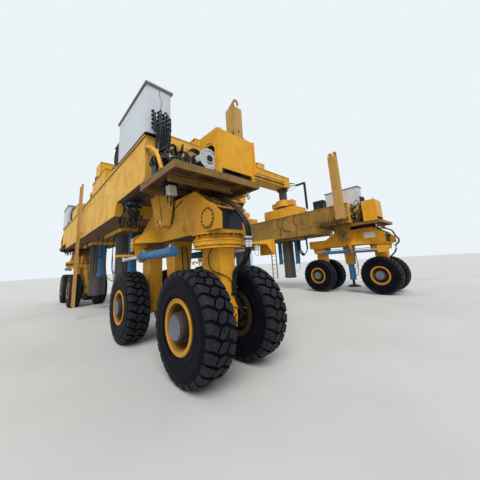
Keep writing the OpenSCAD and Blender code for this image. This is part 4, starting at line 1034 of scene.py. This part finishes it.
def under_beam(corner):
    """Valve bank with hose loops under the beam, and hoses beside the guide tube"""
    chance = random.Random(f"under {corner}")
    shape = Shape(corner_at(corner))
    low = BEAM_FOOT
    shape.box((0.52, -0.98, low - 0.02), (0.95, -0.62, low + 0.001), "steel")
    shape.box((0.57, -0.90, low - 0.15), (0.90, -0.74, low - 0.02), "black")
    for i in range(4):
        x = 0.615 + 0.082 * i
        shape.lathe([(0, 0), (0.032, 0), (0.032, 0.11), (0.025, 0.12), (0, 0.12)], (x, -0.74, low - 0.08),
                    (0, 1, 0), "blue", 14)
        shape.lathe([(0, 0), (0.022, 0), (0.022, 0.07), (0, 0.075)], (x, -0.90, low - 0.08), (0, -1, 0),
                    "cable", 12)
        shape.disc(0.017, 0.03, (x, -0.82, low - 0.15), (0, 0, -1), "zinc", 6)
    for k in range(14):
        x = 0.58 + 0.024 * k
        y = -0.86 + jitter(chance, 0.04)
        deep = low - 0.34 - chance.random() * 0.30
        away = chance.choice((-1, 1)) * (0.12 + 0.36 * chance.random())
        end_z = low if y + away > -1.05 else low - 0.26
        shape.tube([(x, y, low - 0.16), (x + jitter(chance, 0.03), y + 0.06 * away, low - 0.27),
                    (x + jitter(chance, 0.12), y + 0.4 * away, deep),
                    (x + jitter(chance, 0.16), y + 0.85 * away, deep + 0.16 * chance.random()),
                    (x + jitter(chance, 0.06), y + away, end_z)], chance.choice((0.009, 0.012, 0.016)),
                   "hose", 8)
    shape.ring((0.88, -1.12, 2.80), (1, 0, 0), 0.155, 0.014, "hose", 36)
    shape.ring((0.90, -1.10, 2.79), (1, 0.1, 0), 0.145, 0.014, "hose", 36)
    for k in range(3):
        shape.tube([(0.86 + 0.02 * k, -1.0, low), (0.88, -1.02, low - 0.14), (0.88, -1.10 + 0.02 * k, 2.955)],
                   0.012, "hose", 8)
    for k in range(6):
        x = 0.93 - 0.05 * k
        shape.tube([(x, -0.55, low - 0.014), (x, -0.20, low - 0.016 - 0.02 * chance.random()),
                    (x, 0.15, low - 0.014),
                    (x - 0.02, 0.42, low - 0.03), (x - 0.04, 0.52, 3.12)], 0.010, "hose", 7)
    piece(f"under_beam_{corner}", shape, "frame")

    hoses = Shape(corner_at(corner))
    base = BEAM_DEEP
    for k in range(4):
        x = -0.10 + 0.055 * k
        y0, y1 = TUBE_Y + 0.83 + 0.012 * k, TUBE_Y + 1.36 - 0.012 * k
        z = 2.02 + 0.03 * k
        hoses.tube([(x, y0, base - 0.12), (x, y0 - 0.01, 2.5), (x, y0 + 0.01, z + 0.16),
                    (x, (y0 + y1) / 2, z - 0.12),
                    (x, y1 - 0.01, z + 0.16), (x, y1 + 0.01, 2.55), (x, y1, base)], 0.022, "hose", 10)
    hoses.box((-0.14, TUBE_Y + 0.79, base - 0.16), (0.12, TUBE_Y + 0.90, base - 0.118), "steel")
    hoses.box((-0.14, TUBE_Y + 1.30, base - 0.04), (0.12, TUBE_Y + 1.41, base), "steel")
    reach = chance.choice((0.9, 1.1))
    hoses.tube([(0.46, TUBE_Y - 0.36, base - 0.12), (0.50, TUBE_Y - 0.42, 2.5), (0.48, TUBE_Y - 0.55, 1.9),
                (0.44, TUBE_Y - 0.50, 1.50),
                (0.36, TUBE_Y - 0.32, 1.36), (0.30, TUBE_Y - 0.22, 1.34)], 0.012, "hose", 8)
    hoses.tube([(0.45, TUBE_Y + 0.36, base - 0.12), (0.52, TUBE_Y + 0.40, 2.35), (0.50, TUBE_Y + 0.45, 1.75),
                (0.44, TUBE_Y + 0.40, 1.15), (0.36, TUBE_Y + 0.20, 1.00), (0.30, TUBE_Y + 0.16, 1.02)], 0.010,
               "hose", 8)
    hoses.tube([(0.62, TUBE_Y - 1.05, base), (0.66, TUBE_Y - 1.0, 2.55), (0.64, TUBE_Y - reach + 0.1, 2.15),
                (0.60, TUBE_Y - 0.75, 2.28),
                (0.56, TUBE_Y - 0.72, base - 0.10)], 0.014, "hose", 8)
    for z in (0.70, 1.60, 2.60):
        hoses.collar(0.331, 0.352, 0.045, (0, TUBE_Y, z), (0, 0, 1), "steel", 40)
    hoses.bolts((0, TUBE_Y, base - 0.159), (0, 0, -1), 0.357, 20, 0.024, "rust")
    for dy in (-LIFT_ROD_Y, LIFT_ROD_Y):
        hoses.bolts((0, TUBE_Y + dy, base - 0.179), (0, 0, -1), 0.137, 8, 0.020, "rust")
        hoses.disc(0.024, 0.05, (0.12, TUBE_Y + dy, 1.56), (1, 0, 0), "zinc", 10)
        hoses.tube([(0.16, TUBE_Y + dy, 1.56), (0.24, TUBE_Y + dy, 1.60), (0.28, TUBE_Y + dy * 0.98, 1.9),
                    (0.26, TUBE_Y + dy, 2.5), (0.25, TUBE_Y + dy, base - 0.12)], 0.013, "hose", 8)
    piece(f"tube_hoses_{corner}", hoses, "frame")


def beam_top(corner):
    """Gland bolts, hoses and fittings on a guide block, and seams on the beam webs"""
    chance = random.Random(f"beam {corner}")
    shape = Shape(corner_at(corner))
    top = GUIDE_TOP
    shape.lathe([(0.257, 0), (0.345, 0), (0.345, 0.022), (0.335, 0.03), (0.257, 0.03)], (0, TUBE_Y, top),
                (0, 0, 1), "paint", 48)
    shape.bolts((0, TUBE_Y, top + 0.028), (0, 0, 1), 0.305, 16, 0.022, "rust")
    for dy in (-LIFT_ROD_Y, LIFT_ROD_Y):
        shape.lathe([(0.072, 0), (0.12, 0), (0.12, 0.02), (0.115, 0.025), (0.072, 0.025)],
                    (0, TUBE_Y + dy, top), (0, 0, 1), "paint", 32)
        shape.bolts((0, TUBE_Y + dy, top + 0.022), (0, 0, 1), 0.098, 6, 0.018, "rust")
    for k in range(4):
        y = TUBE_Y + 0.2 + 0.22 * k
        shape.tube([(0.55, y, top), (0.60, y, top + 0.06), (0.72, y + jitter(chance, 0.05), top + 0.02),
                    (0.78, y + 0.03, BEAM_TOP + 0.475)],
                   0.013, "hose", 8)
    for y in (-1.36, -1.18, -4.45):
        shape.box((0.95, y, BEAM_TOP), (1.02, y + 0.10, BEAM_TOP + 0.11), "black")
        shape.tube([(0.98, y + 0.05, BEAM_TOP + 0.10), (0.97, y + 0.06, BEAM_TOP + 0.16),
                    (0.95, y + 0.14, BEAM_TOP + 0.12),
                    (0.93, y + 0.20, BEAM_TOP + 0.01)], 0.010, "cable", 7)
    for side in (-1, 1):
        face = side * WEB_X
        for y in (-0.05, -1.32, -2.55, -3.80, -5.0):
            foot = (BEAM_FOOT if y > -1.1 else BEAM_DEEP) + 0.042
            low, high = sorted((face - 0.002 * side, face + 0.007 * side))
            shape.box((low, y - 0.006, foot), (high, y + 0.006, BEAM_TOP - 0.042), "beam")
        for y in (-1.9, -3.3):
            shape.disc(0.018, 0.012, (face, y, BEAM_TOP - 0.14), (side, 0, 0), "rust", 10)
    shape.tube([(-1.0, TUBE_Y + 0.80, BEAM_TOP - 0.02), (-1.022, TUBE_Y + 0.81, BEAM_TOP + 0.012),
                (-1.045, TUBE_Y + 0.80, BEAM_TOP - 0.06),
                (-1.03, TUBE_Y + 0.50, BEAM_TOP - 0.22), (-1.02, TUBE_Y + 0.44, 3.75),
                (-1.02, TUBE_Y + 0.55, 3.45),
                (-1.03, TUBE_Y + 0.80, 3.32), (-1.02, TUBE_Y + 1.0, 3.28)], 0.013, "hose", 8)
    for k in range(9):
        y = 0.30 - 0.13 * k + jitter(chance, 0.05)
        drop = 0.10 + 0.30 * chance.random()
        shape.tube([(-1.008, y, BEAM_FOOT + 0.28 + jitter(chance, 0.12)), (-1.03, y - 0.05, BEAM_FOOT + 0.16),
                    (-1.04, y - 0.16 + jitter(chance, 0.08), BEAM_FOOT + 0.20 - drop),
                    (-1.03, y - 0.30, BEAM_FOOT + 0.10),
                    (-1.008, y - 0.36 + jitter(chance, 0.05), BEAM_FOOT + 0.22 + jitter(chance, 0.08))],
                   chance.choice((0.009, 0.012)), "hose", 7)
    for y in (TUBE_Y + 1.35, TUBE_Y + 0.25):
        shape.tube([(-1.0, y, BEAM_TOP - 0.01), (-1.025, y, BEAM_TOP - 0.10), (-1.03, y - 0.10, 3.95),
                    (-1.03, y - 0.06, 3.70),
                    (-1.03, y + 0.08, 3.55), (-1.03, y + 0.02, 3.30), (-1.0, y, 3.0)], 0.012, "hose", 8)
    piece(f"beam_fittings_{corner}", shape, "frame")


def crossbeams():
    """Hoses, clamps, seams and box lids of both crossbeams, and the hose duct at one end"""
    for end, sy in ENDS.items():
        shape = Shape(Matrix.Translation((0, sy * LIFT_Y, 0)) @ Matrix.Diagonal((1, sy, 1, 1)))
        high = CROSS_HIGH.z - CROSS_BOX_H
        low = high - CROSS_DEEP
        chance = random.Random(f"cross {end}")
        for side in (1, -1):
            face = side * CROSS_HALF_W
            for k, z in enumerate((low + 0.10, low + 0.16, low + 0.30)):
                points = [(-4.3, side * (CROSS_HALF_W + 0.02), z)]
                for i in range(15):
                    x = -4.0 + 0.6 * i
                    points.append((x, side * (CROSS_HALF_W + 0.022 + jitter(chance, 0.004)),
                                   z + jitter(chance, 0.012)))
                shape.tube(points, 0.016 if k < 2 else 0.011, "hose", 7, 3)
            for i in range(13):
                x = -4.0 + 0.67 * i
                ya, yb = sorted((face, face + side * 0.046))
                shape.box((x, ya, low + 0.08), (x + 0.03, yb, low + 0.19), "steel")
            for x in (-4.2, -2.6, -0.9, 0.9, 2.6, 4.2):
                ya, yb = sorted((face, face + side * 0.006))
                shape.box((x, ya, low + 0.03), (x + 0.012, yb, high - 0.03), "beam")
        for x in CROSS_TOP_BOXES.values():
            shape.box((x - 0.312, -0.402, high + 0.295), (x + 0.312, 0.402, high + 0.3395), "paint")
            for dy in (-0.3, 0.3):
                for side in (-1, 1):
                    shape.box(*zip(*(sorted(pair) for pair in ((x + side * 0.300, x + side * 0.320),
                                                               (dy - 0.04, dy + 0.04),
                                                               (high + 0.20, high + 0.30)))), "steel")
        for side in (-1, 1):
            shape.bolts((side * SIDE_X, 0, low - 0.13), (0, 0, -1), 0.30, 16, 0.032, "rust")
            for k in range(3):
                shape.tube([(side * 4.40, 0.30 - 0.05 * k, low), (side * 4.42, 0.34 - 0.05 * k, low - 0.10),
                            (side * (4.50 + 0.04 * k), 0.40, low - 0.16), (side * 4.60, 0.44, low - 0.05),
                            (side * 4.62, 0.43, low + 0.10)], 0.013, "hose", 8)
        piece(f"crossbeam_fittings_{end}", shape, f"{end}_lift")

    duct = Shape(Matrix.Diagonal((1, -1, 1, 1)))
    duct.tube([(4.95, 2.30, 6.44), (5.10, 2.42, 6.47), (5.30, 2.62, 6.49), (5.40, 2.90, 6.49)], 0.03, "hose",
              10)
    duct.box((5.34, 2.72, 6.44), (5.46, 3.36, 6.54), "black")
    duct.box((5.34, 3.26, 4.80), (5.46, 3.36, 6.44), "black")
    for i in range(14):
        z = 4.86 + 0.115 * i
        # Painted shade: near-black bands across the duct
        duct.box((5.334, 3.254, z), (5.466, 3.366, z + 0.02), "dark")
    for k, dx in enumerate((0.0, 0.05, 0.10)):
        duct.tube([(4.95, 2.35 + 0.04 * k, 6.60), (5.08, 2.45, 6.66 - 0.03 * k), (5.22 + dx, 2.62, 6.62),
                   (5.36 + 0.03 * k, 2.78, 6.53)],
                  0.014, "hose", 8)
        duct.tube([(5.37 + 0.03 * k, 3.31, 4.82), (5.37 + 0.03 * k, 3.32, 4.74),
                   (5.40, 3.30 - 0.02 * k, 4.72)], 0.014, "hose", 8)
    duct.tube([(5.0, 2.20, 6.35), (5.12, 2.28, 6.22), (5.26, 2.50, 6.24), (5.36, 2.74, 6.44)], 0.012, "hose",
              8)
    piece("hose_duct", duct, "near_lift", 0.002)


def crossheads():
    """Glands and bolts of the crossheads that carry the crossbeams"""
    for end, sy in ENDS.items():
        for side, sx in SIDES.items():
            shape = Shape(Matrix.Translation((sx * SIDE_X, sy * LIFT_Y, 0)))
            z = GUIDE_TOP + 0.20 + 0.38
            shape.lathe([(0.2515, 0), (0.36, 0), (0.36, 0.04), (0.33, 0.06), (0.2515, 0.06)], (0, 0, z),
                        (0, 0, 1), "paint", 48)
            shape.bolts((0, 0, z + 0.04), (0, 0, 1), 0.325, 16, 0.034, "rust")
            shape.bolts((0, 0, z), (0, 0, 1), 0.44, 20, 0.028, "rust")
            for dy in (-LIFT_ROD_Y, LIFT_ROD_Y):
                shape.lathe([(0, 0), (0.09, 0), (0.09, 0.05), (0.075, 0.07), (0, 0.07)], (0, dy, z - 0.06),
                            (0, 0, 1), "steel", 24)
            piece(f"crosshead_fittings_{end}_{side}", shape, f"{end}_lift")


def cooling(corner):
    """Fan grilles and louvres of a cooling unit"""
    shape = Shape(corner_at(corner))
    x1 = BEAM_HALF_W - 0.12
    y1 = -1.29
    x0, y0, z0, z1 = x1 - 0.42, y1 - 0.62, BEAM_TOP, BEAM_TOP + 0.82
    for side, face in ((1, x1), (-1, x0)):
        for r in (0.05, 0.10, 0.15, 0.20, 0.25):
            shape.ring((face + side * 0.035, (y0 + y1) / 2, z0 + 0.47), (1, 0, 0), r, 0.005, "steel", 32)
        shape.lathe([(0.255, 0), (0.275, 0), (0.275, 0.035), (0.255, 0.04)], (face, (y0 + y1) / 2, z0 + 0.47),
                    (side, 0, 0), "black", 36)
        shape.lathe([(0, 0), (0.07, 0), (0.06, 0.03), (0, 0.03)], (face, (y0 + y1) / 2, z0 + 0.47),
                    (side, 0, 0), "steel", 24)
        for k in range(6):
            a = math.pi * k / 6
            d = Vector((0, math.cos(a), math.sin(a))) * 0.262
            c = Vector((face + side * 0.032, (y0 + y1) / 2, z0 + 0.47))
            shape.rod(c - d, c + d, 0.004, "steel", 6)
    for k in range(16):
        z = z0 + 0.08 + 0.042 * k
        shape.box((x0 + 0.03, y1, z), (x1 - 0.03, y1 + 0.010, z + 0.014), "roof")
        shape.box((x0 + 0.03, y0 - 0.010, z), (x1 - 0.03, y0, z + 0.014), "roof")
    shape.box((x0 - 0.02, y0 - 0.02, z1 - 0.001), (x1 + 0.02, y1 + 0.02, z1 + 0.02), "roof")
    shape.tube([(x0 + 0.1, y1, z0 + 0.72), (x0 + 0.08, y1 + 0.07, z0 + 0.70),
                (x0 + 0.08, y1 + 0.12, z0 + 0.5), (x0 + 0.1, y1 + 0.13, z0 + 0.01)],
               0.02, "hose", 9)
    piece(f"cooling_fittings_{corner}", shape, "frame")


def posts(corner):
    """Bolted feet and hoses of a hook post, and the tangle of hoses between it and the housing"""
    chance = random.Random(f"post {corner}")
    shape = Shape(corner_at(corner))
    right = CORNERS[corner][0] > 0
    x0 = -1.025 - 0.65
    foot = BEAM_FOOT + 0.15
    for y in (0.262, 0.588):
        side = -1 if y < 0.4 else 1
        for x in (x0 + 0.36, x0 + 0.46, x0 + 0.56):
            for z in (foot + 0.12, foot + 0.26, foot + 0.40, foot + 0.52):
                shape.bolt((x, 0.28 if side < 0 else 0.59, z), (0, side, 0), 0.028, "rust")
    piece(f"post_bolts_{corner}", shape, "frame")
    hoses = Shape(corner_at(corner))
    for k in range(16):
        y = 0.62 + 0.45 * chance.random()
        x = -0.62 - 0.30 * chance.random()
        start = (-0.30 - 0.5 * chance.random(), 0.605, 3.50 + 0.55 * chance.random())
        top_z = start[2] + 0.06 + 0.22 * chance.random()
        hoses.tube([start, (start[0] - 0.02, 0.68, start[2] + 0.02), (x, y + 0.06, top_z),
                    (x + jitter(chance, 0.12), y + 0.16, 3.62 + jitter(chance, 0.12)),
                    (x + jitter(chance, 0.10), y + 0.08, 3.36), (max(x, -0.76) + 0.03, y + 0.02, DECK_TOP)],
                   chance.choice((0.009, 0.012, 0.016)), "hose" if k % 3 else "cable", 8, 5)
    hoses.box((-0.74, BEAM_END, 3.45), (-0.24, BEAM_END + 0.05, 3.62), "black")
    for i in range(5):
        hoses.disc(0.03, 0.06, (-0.68 + 0.095 * i, BEAM_END + 0.05, 3.54), (0, 1, 0), "zinc", 12)
    piece(f"post_hoses_{corner}", hoses, "frame")
    if right:
        plate = Shape(corner_at(corner))
        plate.box((-SKIN_X - 0.006, 0.92, 2.485), (-SKIN_X, 1.40, 2.755), "cream")
        for y in (0.94, 1.38):
            for z in (2.505, 2.735):
                plate.bolt((-SKIN_X - 0.006, y, z), (-1, 0, 0), 0.014, "zinc")
        piece(f"bare_plate_{corner}", plate, f"bogie_{corner}", 0.001)


def jack(corner):
    """Bands, ports and hoses of a stabiliser jack, and the rim of its foot"""
    shape = Shape(corner_at(corner))
    shape.collar(0.136, 0.152, 0.06, (0, 0, 0.57), (0, 0, 1), "blue", 36)
    shape.collar(0.136, 0.150, 0.05, (0, 0, 1.20), (0, 0, 1), "blue", 36)
    shape.box((-0.05, 0.130, 0.70), (0.05, 0.150, 1.12), "blue")
    for z in (0.76, 0.95, 1.08):
        shape.disc(0.022, 0.03, (0, 0.150, z), (0, 1, 0), "zinc", 6)
    shape.tube([(0, 0.178, 1.08), (0, 0.24, 1.12), (0.03, 0.30, 1.35), (0.05, 0.27, 1.75),
                (0.05, 0.24, 2.08)], 0.013, "hose", 8)
    shape.tube([(0, 0.178, 0.76), (0, 0.25, 0.80), (-0.04, 0.34, 1.20), (-0.06, 0.30, 1.70),
                (-0.05, 0.24, 2.08)], 0.013, "hose", 8)
    piece(f"jack_fittings_{corner}", shape, f"bogie_{corner}")
    foot = Shape(corner_at(corner))
    foot.ring((0, 0, 0.262), (0, 0, 1), 0.30, 0.008, "black", 40)
    foot.bolts((0, 0, 0.304), (0, 0, 1), 0.19, 8, 0.024, "rust")
    piece(f"jack_foot_fittings_{corner}", foot, f"jack_{corner}")


def details():
    for corner in CORNERS:
        for make in (cabinet, deck_end, housing, power_pack, rocker, ear, bogie_hoses, under_beam, beam_top,
                     cooling, posts, jack):
            make(corner)
        for name in LEGS:
            leg(corner, name)
            wheels(corner, name)
    crossbeams()
    crossheads()


# Floor and light


def floor_and_light():
    size = 150
    mesh = bpy.data.meshes.new("floor")
    mesh.from_pydata([(-size, -size, 0), (size, -size, 0), (size, size, 0), (-size, size, 0)], [],
                     [(0, 1, 2, 3)])
    look = Look("pale_floor", 0.7)
    shade = look.mix(look.band(look.noise(0.35, 5.0, 0.6), 0.3, 0.7), (0.60, 0.60, 0.59), (0.68, 0.68, 0.67))
    mesh.materials.append(look.finish(shade, None, look.noise(60.0, 3.0), 0.1, 0.001))
    floor = bpy.data.objects.new("floor", mesh)
    bpy.context.scene.collection.objects.link(floor)
    sun = bpy.data.objects.new("sun", bpy.data.lights.new("sun", "SUN"))
    sun.data.energy = 2.1
    sun.data.angle = math.radians(40)
    sun.data.color = (1.0, 0.98, 0.94)
    sun.rotation_euler = Vector((-0.62, -0.62, 1.0)).to_track_quat("Z", "Y").to_euler()
    bpy.context.scene.collection.objects.link(sun)
    world = bpy.data.worlds.new("world")
    bpy.context.scene.world = world
    world.use_nodes = True
    tree = world.node_tree
    tree.nodes.clear()
    path = tree.nodes.new("ShaderNodeLightPath")
    shown = tree.nodes.new("ShaderNodeMath")
    shown.operation = "MAXIMUM"
    tree.links.new(path.outputs["Is Camera Ray"], shown.inputs[0])
    tree.links.new(path.outputs["Is Glossy Ray"], shown.inputs[1])
    sky, lamp = tree.nodes.new("ShaderNodeBackground"), tree.nodes.new("ShaderNodeBackground")
    sky.inputs[0].default_value = (0.84, 0.90, 0.94, 1)
    sky.inputs[1].default_value = 1.0
    lamp.inputs[0].default_value = (0.90, 0.95, 1.0, 1)
    lamp.inputs[1].default_value = 0.58
    mix, out = tree.nodes.new("ShaderNodeMixShader"), tree.nodes.new("ShaderNodeOutputWorld")
    tree.links.new(shown.outputs[0], mix.inputs[0])
    tree.links.new(lamp.outputs[0], mix.inputs[1])
    tree.links.new(sky.outputs[0], mix.inputs[2])
    tree.links.new(mix.outputs[0], out.inputs[0])
    bpy.context.scene.view_settings.view_transform = "Standard"


# Looks of the CAD nodes


def wheel_face(face, normal):
    """Look of a face of a wheel: hub end, drum, rim, the dish between them darkened with painted shade, and
    inner sides in painted shade
    """
    centre_y = min((s * PIVOT_Y + l * LEG_Y for s in (-1, 1) for l in (-1, 1)), key=lambda y: abs(y - face.y))
    radius = math.hypot(face.y - centre_y, face.z - AXLE_Z)
    from_side = abs(abs(abs(face.x) - SIDE_X) - WHEEL_X)
    lateral = abs(abs(face.x) - SIDE_X)
    if radius < 0.25:
        return "hub" if from_side > 0.24 and abs(normal.x) > 0.95 else "rust"
    # Painted shade on the inner sides of the wheels
    if lateral < WHEEL_X:
        return "grimy"
    # Painted shade: the dish and the rim's barrel get the darker copy of the rim paint
    return "dish" if from_side < 0.1 or abs(normal.x) < 0.5 else "rim"


def beam_face(face, normal):
    """Look of a face of a side beam: painted shade on the undersides, and the scrubbed web over the lane of
    the containers, its paint darkened with painted shade as well as real dirt"""
    # Painted shade on the undersides of the beam
    if normal.z < -0.9:
        return "under"
    # The right beam's inner web gets the darker scrubbed copy of the paint: real rub marks with painted shade
    return "worn" if face.x > 0 and normal.x < -0.9 and face.z < BEAM_TOP else "beam"


def dress_nodes():
    for side in SIDES:
        dress(f"side_beam_{side}", beam_face)
    # Painted shade: undersides and the walls inside the edge channels get the darker underside copy of the
    # paint
    dress("end_decks", lambda p, n: "under" if n.z < -0.5 or p.z < DECK_TOP - 0.02 and abs(n.z) < 0.5
          and inside_deck(p) else "deck")
    dress("pump_housings", "paint")
    dress("hook_posts", "post")
    dress("ladders", "post")
    dress("power_packs", lambda p, n: "cast" if bell_housing(p) else "black")
    dress("electric_cabinets", lambda p, n: "roof" if p.z > CABINET_HIGH.z - 0.05 else "cabinet")
    dress("cooling_units", "black")
    dress("guide_tubes", "steel")
    dress("lifting_cylinders", "blue")
    for end in ENDS:
        dress(f"{end}_crossbeam", "beam")
        dress(f"{end}_lifting_columns", "steel")
    for corner in CORNERS:
        # Painted shade: the rocker's undersides get the darker underside copy, its other faces the darker
        # rocker copy of the paint
        dress(f"rocker_{corner}", lambda p, n: "under" if n.z < -0.9 else "rocker")
        dress(f"cylinders_{corner}", "blue")
        dress(f"jack_foot_{corner}", "black")
        for leg in LEGS:
            dress(f"{leg}_leg_{corner}", "paint")
            dress(f"{leg}_steering_rod_{corner}", "chrome")
            dress(f"{leg}_axle_{corner}", wheel_face)


def bell_housing(p):
    """Whether a point lies on the bell housing of a power pack"""
    x, y = abs(p.x) - SIDE_X, abs(p.y) - PIVOT_Y
    return 0.05 < x < 0.45 and y > 1.235 and math.hypot(x - DRUM.x, p.z - DRUM.z) < 0.2


def inside_deck(p):
    """Whether a point of a deck lies inside its edge channels"""
    x, y = abs(p.x) - SIDE_X, abs(p.y) - PIVOT_Y
    return -DECK_IN + 0.02 < x < DECK_OUT - 0.02 and BEAM_END + 0.02 < y < DECK_END - 0.02


make_camera()
floor_and_light()
dress_nodes()
tyres()
details()
